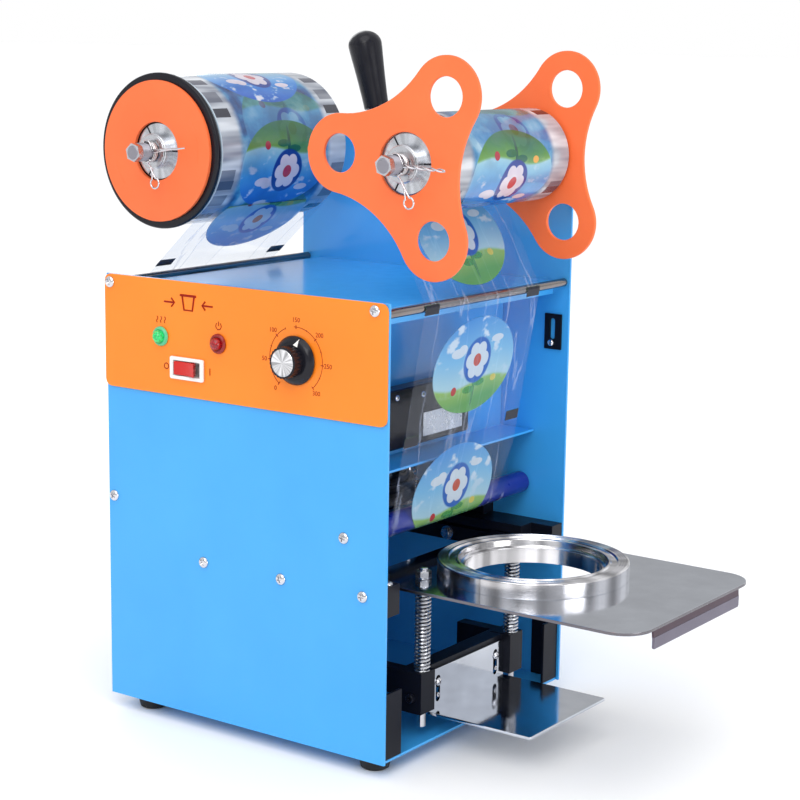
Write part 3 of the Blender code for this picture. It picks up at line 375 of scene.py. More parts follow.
def printed_picture(tree, across, along, noise_place):
    """A round picture of a flower over a hill, and the share of the film that it covers."""
    ground = tree.math("MULTIPLY", tree.math("SINE", tree.math("MULTIPLY", across, 70.0)), 0.003)
    height = tree.math("SUBTRACT", along, ground)
    sky = tree.ramp(tree.math("MULTIPLY_ADD", height, 15.0, 0.5), (
        (0.12, (0.16, 0.46, 0.10, 1)), (0.30, (0.42, 0.66, 0.16, 1)), (0.33, (0.62, 0.86, 0.90, 1)),
        (0.60, (0.30, 0.66, 0.92, 1)), (1.0, (0.08, 0.36, 0.80, 1))))
    cloud = tree.noise(tree.scale(noise_place, (1.0, 1.6, 1.0)), 60.0, 3.0)
    wisps = tree.math(
        "MULTIPLY", tree.below(cloud, 0.40, 0.05), tree.below(tree.math("MULTIPLY", height, -1.0), 0.004))
    picture = tree.mix(wisps, sky, (0.92, 0.97, 1.0, 1))
    white = (0.93, 0.94, 0.95, 1)
    parts = [
        ((-0.021, 0.010), (0.0080, 0.0034), white),
        ((-0.016, 0.012), (0.0050, 0.0034), white),
        ((0.024, 0.016), (0.0070, 0.0026), white),
        ((0.003, -0.014), (0.0016, 0.0150), (0.08, 0.34, 0.07, 1)),
        ((-0.003, -0.017), (0.0065, 0.0026), (0.10, 0.42, 0.09, 1)),
        ((0.009, -0.013), (0.0065, 0.0026), (0.10, 0.42, 0.09, 1)),
        ((0.003, 0.003), (0.0158, 0.0158), (0.02, 0.16, 0.58, 1)),
    ]
    for petal in range(6):
        turn = math.tau * petal / 6
        centre = (0.003 + 0.0080 * math.cos(turn), 0.003 + 0.0080 * math.sin(turn))
        parts.append((centre, (0.0052, 0.0052), white))
    parts += [
        ((0.003, 0.003), (0.0044, 0.0044), (0.80, 0.10, 0.04, 1)),
        ((-0.020, -0.016), (0.0030, 0.0030), (0.72, 0.05, 0.05, 1)),
        ((0.026, -0.012), (0.0034, 0.0024), (0.95, 0.72, 0.10, 1)),
    ]
    for centre, radii, colour in parts:
        picture = tree.mix(oval(tree, across, along, centre, radii, 0.10), picture, colour)
    return picture, oval(tree, across, along, (0.0, 0.0), (PRINT_HALF_WIDTH, PRINT_HALF_LENGTH), 0.02)


def edge_marks(tree, across, along, pitch):
    """The dark marks at both edges of the film, halfway between two prints."""
    to_mark = tree.math("ABSOLUTE", tree.math("SUBTRACT", tree.math("ABSOLUTE", along), pitch / 2))
    from_edge = tree.math("ABSOLUTE", tree.math("SUBTRACT", tree.math("ABSOLUTE", across), 0.0600))
    return tree.math("MULTIPLY", tree.below(to_mark, 0.0034, 0.0002), tree.below(from_edge, 0.0078, 0.0002))


def wrapped(tree, value, pitch):
    return tree.math("WRAP", value, -pitch / 2, pitch / 2)


def film_places(tree, pitch, phase):
    """Place across the film, and place along it within one print."""
    parts = tree.node("ShaderNodeSeparateXYZ", Vector=tree.node("ShaderNodeUVMap").outputs[0]).outputs
    return parts["X"], wrapped(tree, tree.math("SUBTRACT", parts["Y"], phase), pitch)


def film_finish(name, phase):
    """Clear glossy film with round prints and dark edge marks."""
    material = finish(name, (0.8, 0.9, 0.95), 0.22, 0.0, Specular_IOR_Level=0.25)
    tree, shader = shader_of(material)
    across, along = film_places(tree, PRINT_PITCH, phase)
    marks = edge_marks(tree, across, along, PRINT_PITCH)
    coordinates = tree.node("ShaderNodeUVMap").outputs[0]
    picture, mask = printed_picture(tree, across, along, coordinates)
    inked = tree.multiply(picture, (0.58, 0.68, 0.78, 1))
    tree.link(tree.mix(marks, inked, (0.006, 0.008, 0.02, 1)), shader.inputs["Base Color"])
    covered = tree.math("MAXIMUM", tree.math("MULTIPLY", mask, 0.72), tree.math("MULTIPLY", marks, 0.94))
    creases = tree.noise(tree.scale(coordinates, (34.0, 5.0, 1.0)), 1.0, 4.0)
    clear = tree.nodes.new("ShaderNodeBsdfTransparent")
    clear.inputs["Color"].default_value = (0.95, 0.965, 0.985, 1.0)
    shine = tree.node("ShaderNodeBsdfGlossy", Roughness=0.06)
    haze = tree.node("ShaderNodeBsdfDiffuse", Color=(0.62, 0.70, 0.90, 1.0))
    glance = tree.math("POWER", tree.node("ShaderNodeLayerWeight", Blend=0.5).outputs["Facing"], 5.0)
    shiny = tree.math("MULTIPLY_ADD", glance, 0.45, tree.range(creases, 0.002, 0.018))
    # painted highlight: thin winding lines along the creases turn to pale diffuse haze, standing in for
    # glare off the wrinkles
    off_fold = tree.math("ABSOLUTE", tree.math("SUBTRACT", creases, 0.5))
    painted_glint = tree.math("MULTIPLY", tree.below(off_fold, 0.007, 0.007), 0.14)
    base = tree.node("ShaderNodeMixShader", Fac=tree.math("ADD", painted_glint, tree.range(creases, 0.0, 0.016)))
    tree.link(clear.outputs[0], base.inputs[1])
    tree.link(haze.outputs[0], base.inputs[2])
    glossy = tree.node("ShaderNodeMixShader", Fac=shiny)
    tree.link(base.outputs[0], glossy.inputs[1])
    tree.link(shine.outputs[0], glossy.inputs[2])
    film = tree.node("ShaderNodeMixShader", Fac=covered)
    tree.link(glossy.outputs[0], film.inputs[1])
    tree.link(shader.outputs[0], film.inputs[2])
    tree.link(film.outputs[0], material.node_tree.nodes["Material Output"].inputs["Surface"])
    tree.bump(creases, 0.08, 0.0004, shader)
    return material


def wound_film_finish(name, radius, prints):
    """Many layers of printed film on a roll: clear banded edges and prints all the way round."""
    material = finish(name, (0.3, 0.6, 0.85), 0.22, 0.0, Coat_Weight=0.30, Coat_Roughness=0.05)
    tree, shader = shader_of(material)
    pitch = math.tau * radius / prints
    across, along = film_places(tree, pitch, 0.012)
    coordinates = tree.node("ShaderNodeUVMap").outputs[0]
    picture, mask = printed_picture(tree, across, along, coordinates)
    below = wrapped(tree, tree.math("ADD", along, pitch * 0.37), pitch)
    lower_picture, lower_mask = printed_picture(
        tree, tree.math("SUBTRACT", across, 0.006), below, coordinates)
    depth = tree.noise(coordinates, 42.0, 4.0)
    under = tree.ramp(depth, (
        (0.36, (0.004, 0.025, 0.12, 1)), (0.46, (0.015, 0.09, 0.26, 1)), (0.54, (0.05, 0.24, 0.44, 1)),
        (0.68, (0.30, 0.48, 0.60, 1))))
    lower_picture = tree.multiply(lower_picture, (0.12, 0.28, 0.46, 1))
    body = tree.mix(tree.math("MULTIPLY", lower_mask, 0.60), under, lower_picture)
    picture = tree.node("ShaderNodeGamma", Color=picture, Gamma=2.3).outputs[0]
    picture = tree.multiply(picture, (0.82, 0.70, 0.76, 1))
    body = tree.mix(tree.math("MULTIPLY", mask, tree.range(depth, 0.72, 1.0)), body, picture)
    bands = tree.noise(tree.scale(coordinates, (12.0, 95.0, 1.0)), 1.0, 2.0)
    clear = tree.ramp(bands, (
        (0.36, (0.22, 0.24, 0.29, 1)), (0.50, (0.42, 0.45, 0.50, 1)), (0.66, (0.66, 0.69, 0.73, 1))))
    travel = tree.node("ShaderNodeSeparateXYZ", Vector=coordinates).outputs["Y"]
    block = tree.nodes.new("ShaderNodeTexWhiteNoise")
    block.noise_dimensions = "1D"
    tree.link(tree.math("FLOOR", tree.math("MULTIPLY", travel, 105.0)), block.inputs["W"])
    from_edge = tree.math("ABSOLUTE", tree.math("SUBTRACT", tree.math("ABSOLUTE", across), 0.0600))
    blocks = tree.math(
        "MULTIPLY", tree.below(block.outputs["Value"], 0.30, 0.01), tree.below(from_edge, 0.0072, 0.0004))
    clear = tree.mix(tree.math("MULTIPLY", blocks, 0.65), clear, (0.035, 0.040, 0.075, 1))
    clear = tree.mix(edge_marks(tree, across, below, pitch), clear, (0.05, 0.055, 0.09, 1))
    clear = tree.mix(edge_marks(tree, across, along, pitch), clear, (0.012, 0.014, 0.03, 1))
    margin = tree.below(tree.math("ABSOLUTE", across), 0.0475, 0.0035)
    tree.link(tree.mix(margin, clear, body), shader.inputs["Base Color"])
    tree.bump(bands, 0.10, 0.0004, shader)
    return material


def wound_edge_finish():
    """The end of a roll: hundreds of thin rings."""
    material = finish("wound_edge", (0.55, 0.66, 0.74), 0.35, 0.0)
    tree, shader = shader_of(material)
    radius = tree.node("ShaderNodeSeparateXYZ", Vector=tree.node("ShaderNodeUVMap").outputs[0]).outputs["Y"]
    rings = tree.line_noise(tree.math("MULTIPLY", radius, 1500.0))
    shades = tree.ramp(rings, ((0.35, (0.22, 0.34, 0.46, 1)), (0.65, (0.74, 0.80, 0.84, 1))))
    tree.link(shades, shader.inputs["Base Color"])
    tree.bump(rings, 0.3, 0.0003, shader)
    return material


# ---------------------------------------------------------------- modelling helpers
class Shape:
    """A visual piece under construction, in the machine frame. Its parts are closed, each with a finish."""

    def __init__(self, name):
        self.name = name
        self.mesh = bmesh.new()
        self.uv = self.mesh.loops.layers.uv.new("film")
        self.finishes = []

    def slot_of(self, material):
        if material not in self.finishes:
            self.finishes.append(material)
        return self.finishes.index(material)

    def face(self, corners, material):
        made = self.mesh.faces.new(list(dict.fromkeys(corners)))
        made.material_index = self.slot_of(material)
        return made

    def lathe(self, profile, axis, centre, material, segments=64, start=0.5):
        """A body of revolution. profile lists (radius, place along); with no zero radius it has a bore."""
        rings = []
        for radius, along in profile:
            steps = 1 if radius == 0 else segments
            ring = []
            for k in range(steps):
                angle = math.tau * (k + start) / segments
                ring.append(self.mesh.verts.new(
                    spun(axis, centre, radius * math.cos(angle), radius * math.sin(angle), along)))
            rings.append(ring)
        pairs = list(zip(rings, rings[1:]))
        if profile[0][0] > 0:
            pairs.append((rings[-1], rings[0]))
        for first, second in pairs:
            for k in range(segments):
                m = (k + 1) % segments
                a, b = first[k % len(first)], first[m % len(first)]
                self.face((a, b, second[m % len(second)], second[k % len(second)]), material)

    def block(self, low, high, material):
        """A rectangular block between two corners."""
        outline = [(low[0], low[1]), (high[0], low[1]), (high[0], high[1]), (low[0], high[1])]
        self.prism(outline, "Z", low[2], high[2], material)

    def prism(self, outline, axis, low, high, material):
        """A flat outline extruded along an axis."""
        lower = [self.mesh.verts.new(spun(axis, (0, 0), u, v, low)) for u, v in outline]
        upper = [self.mesh.verts.new(spun(axis, (0, 0), u, v, high)) for u, v in outline]
        self.face(lower, material)
        self.face(upper, material)
        for i in range(len(outline)):
            j = (i + 1) % len(outline)
            self.face((lower[i], lower[j], upper[j], upper[i]), material)

    def wire(self, points, radius, material, sides=12):
        """A round wire that follows points, with flat ends."""
        across = None
        rings = []
        for i, point in enumerate(points):
            heading = (points[min(i + 1, len(points) - 1)] - points[max(i - 1, 0)]).normalized()
            if across is None:
                across = heading.orthogonal().normalized()
            across = (across - heading * across.dot(heading)).normalized()
            other = heading.cross(across)
            ring = []
            for k in range(sides):
                angle = math.tau * k / sides
                ring.append(
                    self.mesh.verts.new(
                        point + radius * (across * math.cos(angle) + other * math.sin(angle))))
            rings.append(ring)
        for first, second in zip(rings, rings[1:]):
            for k in range(sides):
                m = (k + 1) % sides
                self.face((first[k], first[m], second[m], second[k]), material)
        self.face(rings[0], material)
        self.face(rings[-1], material)

    def stamp(self, mesh, matrix, material):
        """Add a copy of a mesh, moved by a matrix."""
        made = []
        for vertex in mesh.vertices:
            made.append(self.mesh.verts.new(matrix @ vertex.co))
        for polygon in mesh.polygons:
            self.face([made[i] for i in polygon.vertices], material)

    def bevel(self, width, segments=2, angle=35.0):
        """Round every edge that is sharper than an angle."""
        bmesh.ops.recalc_face_normals(self.mesh, faces=self.mesh.faces)
        sharp = [
            e for e in self.mesh.edges if len(e.link_faces) == 2
            and e.calc_face_angle(0) > math.radians(angle)
        ]
        bmesh.ops.bevel(
            self.mesh, geom=sharp, offset=width, offset_type="OFFSET", segments=segments, profile=0.5,
            affect="EDGES", clamp_overlap=True)

    def done(self, body, nodes=(), slot=None, sharp=40.0):
        """Turn the shape into an object that rides on a body and stands for CAD nodes."""
        bmesh.ops.recalc_face_normals(self.mesh, faces=self.mesh.faces)
        mesh = bpy.data.meshes.new(self.name)
        self.mesh.to_mesh(mesh)
        self.mesh.free()
        for material in self.finishes:
            mesh.materials.append(material)
        mesh.shade_smooth()
        mesh.set_sharp_from_angle(angle=math.radians(sharp))
        piece = bpy.data.objects.new(self.name, mesh)
        bpy.context.collection.objects.link(piece)
        piece.location = (MACHINE_X, MACHINE_Y, 0)
        weighted = piece.modifiers.new("normals", "WEIGHTED_NORMAL")
        weighted.keep_sharp = True
        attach(piece, body)
        if nodes:
            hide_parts(*nodes)
        return piece


def spun(axis, centre, u, v, along):
    """A point from two coordinates across an axis and one along it."""
    if axis == "X":
        return Vector((along, centre[0] + u, centre[1] + v))
    if axis == "Y":
        return Vector((centre[0] + u, along, centre[1] + v))
    return Vector((centre[0] + u, centre[1] + v, along))


def fillet(points, radius, steps=6):
    """Round the corners of an outline. radius is one length, or a list with one for each corner."""
    radii = radius if isinstance(radius, (list, tuple)) else [radius] * len(points)
    made = []
    for i, corner in enumerate(points):
        here = Vector(corner)
        back = (Vector(points[i - 1]) - here).normalized()
        onward = (Vector(points[(i + 1) % len(points)]) - here).normalized()
        if radii[i] <= 0:
            made.append(tuple(here))
            continue
        half = back.angle(onward) / 2
        reach = radii[i] / math.tan(half)
        centre = here + (back + onward).normalized() * radii[i] / math.sin(half)
        first = here + back * reach - centre
        last = here + onward * reach - centre
        turn = first.angle_signed(last)
        for k in range(steps + 1):
            angle = -turn * k / steps
            made.append(tuple(centre + Vector((
                first.x * math.cos(angle) - first.y * math.sin(angle),
                first.x * math.sin(angle) + first.y * math.cos(angle)))))
    return made


def ring_points(centre, radius, steps=48, start=0.0):
    """Points of a circle in an outline's plane."""
    return [
        (centre[0] + radius * math.cos(start + math.tau * k / steps),
         centre[1] + radius * math.sin(start + math.tau * k / steps))
        for k in range(steps)
    ]


def rectangle(low, high):
    return [low, (high[0], low[1]), high, (low[0], high[1])]


def slot_points(centre, half_width, half_length, steps=10):
    """An upright slot with round ends."""
    points = []
    for end in (1, -1):
        for k in range(steps + 1):
            angle = math.pi * k / steps + (0 if end > 0 else math.pi)
            points.append((
                centre[0] + half_width * math.cos(angle),
                centre[1] + end * (half_length - half_width) + half_width * math.sin(angle)))
    return points


def plate_mesh(outlines, axis, low, high, edge):
    """A plate with holes and rounded edges; the first outline is its outside and the others are holes."""
    curve = bpy.data.curves.new("plate", "CURVE")
    curve.dimensions = "2D"
    curve.fill_mode = "BOTH"
    for outline in outlines:
        spline = curve.splines.new("POLY")
        spline.points.add(len(outline) - 1)
        spline.use_cyclic_u = True
        for point, (u, v) in zip(spline.points, outline):
            point.co = (u, v, 0, 1)
    curve.extrude = (high - low) / 2 - edge
    curve.bevel_depth = edge
    curve.bevel_resolution = 1
    curve.offset = -edge
    holder = bpy.data.objects.new("plate", curve)
    bpy.context.collection.objects.link(holder)
    bpy.context.view_layer.update()
    mesh = bpy.data.meshes.new_from_object(holder.evaluated_get(bpy.context.evaluated_depsgraph_get()))
    bpy.data.objects.remove(holder)
    for vertex in mesh.vertices:
        vertex.co = spun(axis, (0, 0), vertex.co.x, vertex.co.y, vertex.co.z + (low + high) / 2)
    return mesh


def plate(shape, outlines, axis, low, high, edge, material):
    shape.stamp(plate_mesh(outlines, axis, low, high, edge), Matrix.Identity(4), material)
    bmesh.ops.remove_doubles(shape.mesh, verts=shape.mesh.verts, dist=1e-7)


def softened(node, material, width, segments=2):
    """A CAD node's own shape with its sharp edges rounded."""
    shape = Shape(f"{node}_finished")
    inverse = Matrix.Translation((-MACHINE_X, -MACHINE_Y, 0))
    shape.stamp(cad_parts[node].data, inverse, material)
    bmesh.ops.remove_doubles(shape.mesh, verts=shape.mesh.verts, dist=1e-6)
    bmesh.ops.dissolve_limit(
        shape.mesh, angle_limit=math.radians(0.5), verts=shape.mesh.verts, edges=shape.mesh.edges)
    shape.bevel(width, segments)
    return shape


def turned_piece(node, body, slot, axis, centre, profile, material, segments=64):
    """A piece that is one body of revolution and stands for one CAD node."""
    shape = Shape(f"{node}_finished")
    shape.lathe(profile, axis, centre, material, segments)
    return shape.done(body, [node], slot)


# ---------------------------------------------------------------- fasteners
def carved(body_shape, cutter_shape):
    """The mesh of one shape with another cut out of it."""
    objects = []
    for shape in (body_shape, cutter_shape):
        bmesh.ops.recalc_face_normals(shape.mesh, faces=shape.mesh.faces)
        mesh = bpy.data.meshes.new(shape.name)
        shape.mesh.to_mesh(mesh)
        shape.mesh.free()
        made = bpy.data.objects.new(shape.name, mesh)
        bpy.context.collection.objects.link(made)
        objects.append(made)
    cut = objects[0].modifiers.new("cut", "BOOLEAN")
    cut.operation = "DIFFERENCE"
    cut.solver = "EXACT"
    cut.object = objects[1]
    bpy.context.view_layer.update()
    mesh = bpy.data.meshes.new_from_object(objects[0].evaluated_get(bpy.context.evaluated_depsgraph_get()))
    for made in objects:
        bpy.data.objects.remove(made)
    return mesh


def pan_head():
    """A cross-recess pan head of radius 3.9 mm that stands on z = 0."""
    head = Shape("pan_head")
    dome = [(0, 0), (0.0038, 0), (0.0039, 0.0003), (0.0038, 0.0009), (0.0034, 0.0015), (0.0026, 0.0020),
            (0.0014, 0.0023), (0, 0.0024)]
    head.lathe(dome, "Z", (0, 0), None, 32)
    cross = Shape("cross")
    arm, reach = 0.0005, 0.0021
    outline = [(arm, arm), (reach, arm), (reach, -arm), (arm, -arm), (arm, -reach), (-arm, -reach),
               (-arm, -arm), (-reach, -arm), (-reach, arm), (-arm, arm), (-arm, reach), (arm, reach)]
    cross.prism(outline, "Z", 0.0009, 0.004, None)
    return carved(head, cross)


def socket_head():
    """A cylinder head with a hexagon socket, radius 3.5 mm."""
    head = Shape("socket_head")
    head.lathe(
        [(0, 0), (0.0035, 0), (0.0035, 0.0033), (0.0031, 0.0037), (0, 0.0037)], "Z", (0, 0), None, 32)
    socket = Shape("socket")
    socket.prism(ring_points((0, 0), 0.0018, 6), "Z", 0.0015, 0.006, None)
    return carved(head, socket)


def hexagon_head():
    """A hexagon head with chamfered corners, 8 mm across its flats, on a washer."""
    head = Shape("hexagon_head")
    head.lathe(
        [(0, 0), (0.0058, 0), (0.0060, 0.0002), (0.0060, 0.0008), (0, 0.0009)], "Z", (0, 0), None, 32)
    head.prism(ring_points((0, 0), 0.00455, 6), "Z", 0.0009, 0.0038, None)
    head.lathe([(0, 0.0036), (0.0037, 0.0036), (0.0037, 0.0042), (0, 0.0043)], "Z", (0, 0), None, 32)
    mesh = bpy.data.meshes.new("hexagon_head")
    head.mesh.to_mesh(mesh)
    head.mesh.free()
    return mesh


def turned_to(place, normal, roll=0.0, size=1.0):
    """The matrix that stands a fastener on a surface."""
    aim = Vector(normal).to_track_quat("Z", "Y").to_matrix().to_4x4()
    return Matrix.Translation(place) @ aim @ Matrix.Rotation(roll, 4, "Z") @ Matrix.Diagonal(
        (size, size, size, 1))


def thread_profile(radius, low, high, pitch, depth):
    """A lathe profile of close rings that read as a screw thread."""
    count = max(2, round((high - low) / pitch))
    points = []
    for k in range(count):
        start = low + (high - low) * k / count
        points += [(radius - depth, start), (radius, start + (high - low) * 0.5 / count)]
    return points + [(radius - depth, high)]


# ---------------------------------------------------------------- finishes
BLUE = powder_coat("blue_paint", (0.050, 0.375, 0.84), (0.042, 0.35, 0.80), 0.24)
ORANGE_PAINT = powder_coat("orange_paint", (0.95, 0.240, 0.016), (0.92, 0.225, 0.014), 0.33, 0.15, 0.3)
ORANGE = moulded("orange_moulding", (0.93, 0.172, 0.050), (0.90, 0.158, 0.044), 0.42)
BLACK_PAINT = powder_coat("black_paint", (0.004, 0.005, 0.010), (0.006, 0.007, 0.013), 0.34, 0.0, 0.16)
BLACK = moulded("black_moulding", (0.006, 0.006, 0.011), (0.010, 0.010, 0.015), 0.22, 0.0, 0.28)
CHROME = brushed("bright_chrome", (0.72, 0.72, 0.75), 0.09, (60.0, 60.0, 60.0))
# painted shade: the drawer lip's face is a darker copy of the polished stainless
LIP_PAINTED_SHADE = brushed("lip_stainless_painted_shade", (0.175, 0.16, 0.21), 0.16, (1400.0, 9.0, 9.0))
# painted shade: the bend along the lip's top is a near-black copy of the polished stainless
BEND_PAINTED_SHADE = brushed("bend_stainless_painted_shade", (0.085, 0.055, 0.075), 0.12, (1400.0, 9.0, 9.0))
THREAD = brushed("thread_steel", (0.30, 0.29, 0.33), 0.34, (900.0, 60.0, 900.0), 0.55)
# painted shade: the slide plate's upright edges are a darker copy of the polished stainless
EDGE_PAINTED_SHADE = brushed("plate_edge_painted_shade", (0.20, 0.19, 0.21), 0.30, (900.0, 9.0, 9.0))
MIRROR = brushed("polished_stainless", (0.66, 0.69, 0.75), 0.075, (1400.0, 9.0, 9.0))
ROD_STEEL = brushed("rod_steel", (0.27, 0.24, 0.23), 0.16, (900.0, 40.0, 900.0))
STEEL = brushed("bright_steel", (0.56, 0.55, 0.56), 0.22, (900.0, 40.0, 900.0))
ZINC = brushed("zinc_plate", (0.60, 0.61, 0.64), 0.27, (260.0, 260.0, 260.0))
ROLLER_BLUE = moulded("roller_blue", (0.009, 0.024, 0.27), (0.007, 0.018, 0.22), 0.34, 0.1)
WHITE = moulded("white_moulding", (0.84, 0.84, 0.82), (0.78, 0.78, 0.76), 0.28, 0.2)
INK = moulded("panel_ink", (0.30, 0.012, 0.004), (0.24, 0.009, 0.003), 0.55, 0.0, 0.15)
PALE_INK = moulded("pale_ink", (0.88, 0.88, 0.86), (0.80, 0.80, 0.78), 0.45)
RUBBER = moulded("foot_rubber", (0.014, 0.014, 0.015), (0.026, 0.026, 0.027), 0.72)
BRASS = brushed("brass_pins", (0.72, 0.56, 0.26), 0.25, (200.0, 200.0, 200.0))
PAN_HEAD = pan_head()
SOCKET_HEAD = socket_head()
HEXAGON_HEAD = hexagon_head()


def lens(name, colour, glow):
    """A tinted lamp lens with moulded facets."""
    material = finish(name, colour, 0.14, 0.0, Coat_Weight=0.35, Coat_Roughness=0.03)
    tree, shader = shader_of(material)
    place = tree.place()
    facets = tree.node("ShaderNodeTexVoronoi", Vector=place, Scale=900.0).outputs["Distance"]
    dark = tuple(c * 0.45 for c in colour)
    tree.link(tree.mix(tree.range(facets, 0.0, 1.0), (*colour, 1), (*dark, 1)), shader.inputs["Base Color"])
    tree.bump(facets, 0.5, 0.0004, shader)
    shader.inputs["Emission Color"].default_value = (*colour, 1.0)
    shader.inputs["Emission Strength"].default_value = glow
    return material


GREEN_LENS = lens("green_lens", (0.02, 0.62, 0.16), 0.35)
RED_LENS = lens("red_lens", (0.42, 0.004, 0.010), 0.04)
RED = moulded("red_moulding", (0.60, 0.010, 0.006), (0.52, 0.008, 0.005), 0.20, 0.2, 0.3)

# ---------------------------------------------------------------- places taken from the CAD
SUPPLY = Vector((0.100, 0.387))
TAKE_UP = Vector((-0.106, 0.3885))
FRONT_ROLLER = (-0.084, 0.153)
REAR_ROLLER = (0.112, 0.1525)
FRONT_ROD = (-0.1134, 0.2987)
REAR_ROD = (0.113, 0.300)
SHAFT = (0.01413, 0.212)
OUTER_X = 0.108                  # outer face of both side panels
ROD_X, ROD_Y = 0.054, -0.109     # the hanging rods
RING_CENTRE = (0.0, -0.1588)
GUIDE_X = 0.079                  # inner face of the rails' grooved part
PLATFORM_TOP = 0.0280
FLANGE_HALF_WIDTH = 0.0456
PANEL_FACE = -0.1098             # outer face of the control panel
KNOB_CENTRE = (-0.047, 0.264)
COVER_GAUGE = 0.0018             # sheet of the top cover and the inner front panel
PLATE_TOP = 0.1205
PLATE_GAUGE = 0.002              # sheet of the slide plate and the cup platform
RING_TOP = 0.131
FILM_HALF_WIDTH = 0.068
SUPPLY_ROLL_R = 0.051
TAKE_UP_ROLL_R = 0.031
ROLLER_R = 0.0075
GUIDE_ROD_R = 0.003
LEVER_X = 0.125
SHAFT_BORE_R = 0.0063


# ---------------------------------------------------------------- cabinet
def build_cabinet():
    for node, width in (("left_side_panel", 0.0004), ("right_side_panel", 0.0004), ("rear_panel", 0.0004),
                        ("base_plate", 0.0005)):
        softened(node, BLUE, width).done("cabinet", [node], "blue_sheet")
    softened("control_panel", ORANGE_PAINT, 0.0003).done("cabinet", ["control_panel"], "orange_sheet")

    low, high = machine_box("top_cover")
    gauge = COVER_GAUGE
    outline = [(low.y, low.z), (low.y, high.z), (high.y, high.z), (high.y, low.z), (high.y - gauge, low.z),
               (high.y - gauge, high.z - gauge), (low.y + gauge, high.z - gauge), (low.y + gauge, low.z)]
    cover = Shape("top_cover_finished")
    cover.prism(fillet(outline, [0.0003, 0.0026, 0.0026, 0.0003, 0.0003, 0.0008, 0.0008, 0.0003]), "X",
                low.x, high.x, BLUE)
    cover.done("cabinet", ["top_cover"], "blue_sheet")

    low, high = machine_box("inner_front_panel")
    outline = [(low.y, low.z), (high.y, low.z), (high.y, high.z), (high.y - gauge, high.z),
               (high.y - gauge, low.z + gauge), (low.y, low.z + gauge)]
    inner = Shape("inner_front_panel_finished")
    inner.prism(fillet(outline, [0.0006, 0.0026, 0.0003, 0.0003, 0.0008, 0.0006]), "X", low.x, high.x, BLUE)
    inner.done("cabinet", ["inner_front_panel"], "blue_sheet")

    for node in ("slide_rail_left", "slide_rail_right", "die_plate", "head_bridge"):
        softened(node, BLACK_PAINT, 0.0006).done("cabinet", [node], "black_steel")

    for node in ("front_guide_rod", "rear_guide_rod"):
        low, high = machine_box(node)
        centre = middle(low, high)
        turned_piece(
            node, "cabinet", "turned_steel", "X", centre,
            [
                (0, low.x), (0.0026, low.x), (0.0030, low.x + 0.0005), (0.0030, high.x - 0.0005),
                (0.0026, high.x), (0, high.x)],
            ROD_STEEL, 48)

    for corner in ("front_left", "front_right", "rear_left", "rear_right"):
        node = f"foot_{corner}"
        low, high = machine_box(node)
        centre = middle(low, high, "xy")
        turned_piece(node, "cabinet", "rubber", "Z", centre, [
            (0, 0.0022), (0.0038, 0.0022), (0.0042, 0.0), (0.0080, 0.0), (0.0092, 0.0008),
            (0.0113, high.z - 0.0016), (0.0115, high.z - 0.0008), (0.0112, high.z), (0, high.z)], RUBBER)

    outline = [
        (-0.1055, -0.1165), (-0.0870, -0.1165), (-0.0870, -0.1145), (-0.1035, -0.1145), (-0.1035, -0.0960),
        (-0.1055, -0.0960)
    ]
    for name, side in (("corner_bracket", 1), ("corner_bracket_right", -1)):
        bracket = Shape(name)
        bracket.prism([(side * x, y) for x, y in outline], "Z", 0.0123, 0.0560, BLACK_PAINT)
        bracket.bevel(0.0004)
        bracket.done("cabinet", slot="black_steel")


def build_screws():
    """Every screw head on the cabinet, one piece for each face."""
    left = Shape("left_side_screws")
    side_places = [(0.032, 0.1185), (-0.034, 0.1185), (-0.100, 0.1185), (-0.0848, 0.1542), (0.1127, 0.1525)]
    for number, (y, z) in enumerate(side_places):
        left.stamp(PAN_HEAD, turned_to((-OUTER_X, y, z), (-1, 0, 0), 0.6 + 1.3 * number), CHROME)
    for number, (y, z) in enumerate(((0.1127, 0.3004), (-0.1085, 0.3010))):
        left.stamp(PAN_HEAD, turned_to((PANEL_FACE, y, z), (-1, 0, 0), 0.4 + number, 1.0), CHROME)
    left.done("cabinet", slot="turned_steel")

    right = Shape("right_side_screws")
    for number, (y, z) in enumerate(side_places + [(-0.1085, 0.2987), (0.110, 0.300), (-0.105, 0.2555)]):
        right.stamp(PAN_HEAD, turned_to((OUTER_X, y, z), (1, 0, 0), 0.9 + 1.1 * number), CHROME)
    for y, z in ((*SUPPLY,), (*TAKE_UP,)):
        right.stamp(HEXAGON_HEAD, turned_to((OUTER_X, y, z), (1, 0, 0), 0.3, 1.15), ZINC)
    for angle in (0.8, 2.4, 4.0, 5.5):
        y = SHAFT[0] + 0.0175 * math.cos(angle)
        z = SHAFT[1] + 0.0175 * math.sin(angle)
        right.stamp(SOCKET_HEAD, turned_to((OUTER_X, y, z), (1, 0, 0), 0.3, 0.55), ZINC)
    right.done("cabinet", slot="turned_steel")

    rear = Shape("rear_screws")
    high = machine_box("rear_panel")[1]
    for number, (x, z) in enumerate(
        ((-0.099, 0.022), (0.099, 0.022), (-0.099, 0.285), (0.099, 0.285), (-0.099, 0.150), (0.099, 0.150))
    ):
        rear.stamp(PAN_HEAD, turned_to((x, high.y, z), (0, 1, 0), 0.5 + number, 0.8), CHROME)
    rear.done("cabinet", slot="turned_steel")

    rails = Shape("rail_bolts")
    rail_front = machine_box("slide_rail_left")[0].y
    for side in (-1, 1):
        for y in (-0.0376, 0.0600):
            rails.stamp(
                HEXAGON_HEAD, turned_to((side * GUIDE_X, y, 0.1125), (-side, 0, 0), 0.2, 0.85), ZINC)
        rails.stamp(PAN_HEAD, turned_to((side * GUIDE_X, -0.0742, 0.1130), (-side, 0, 0), 0.4, 0.70), ZINC)
    rails.stamp(PAN_HEAD, turned_to((-0.1000, rail_front + 0.0045, 0.1270), (0, 0, 1), 0.78, 0.95), ZINC)
    rails.stamp(PAN_HEAD, turned_to((0.1041, -0.1050, 0.2555), (-1, 0, 0), 0.3, 0.62), CHROME)
    rails.done("cabinet", slot="turned_steel")


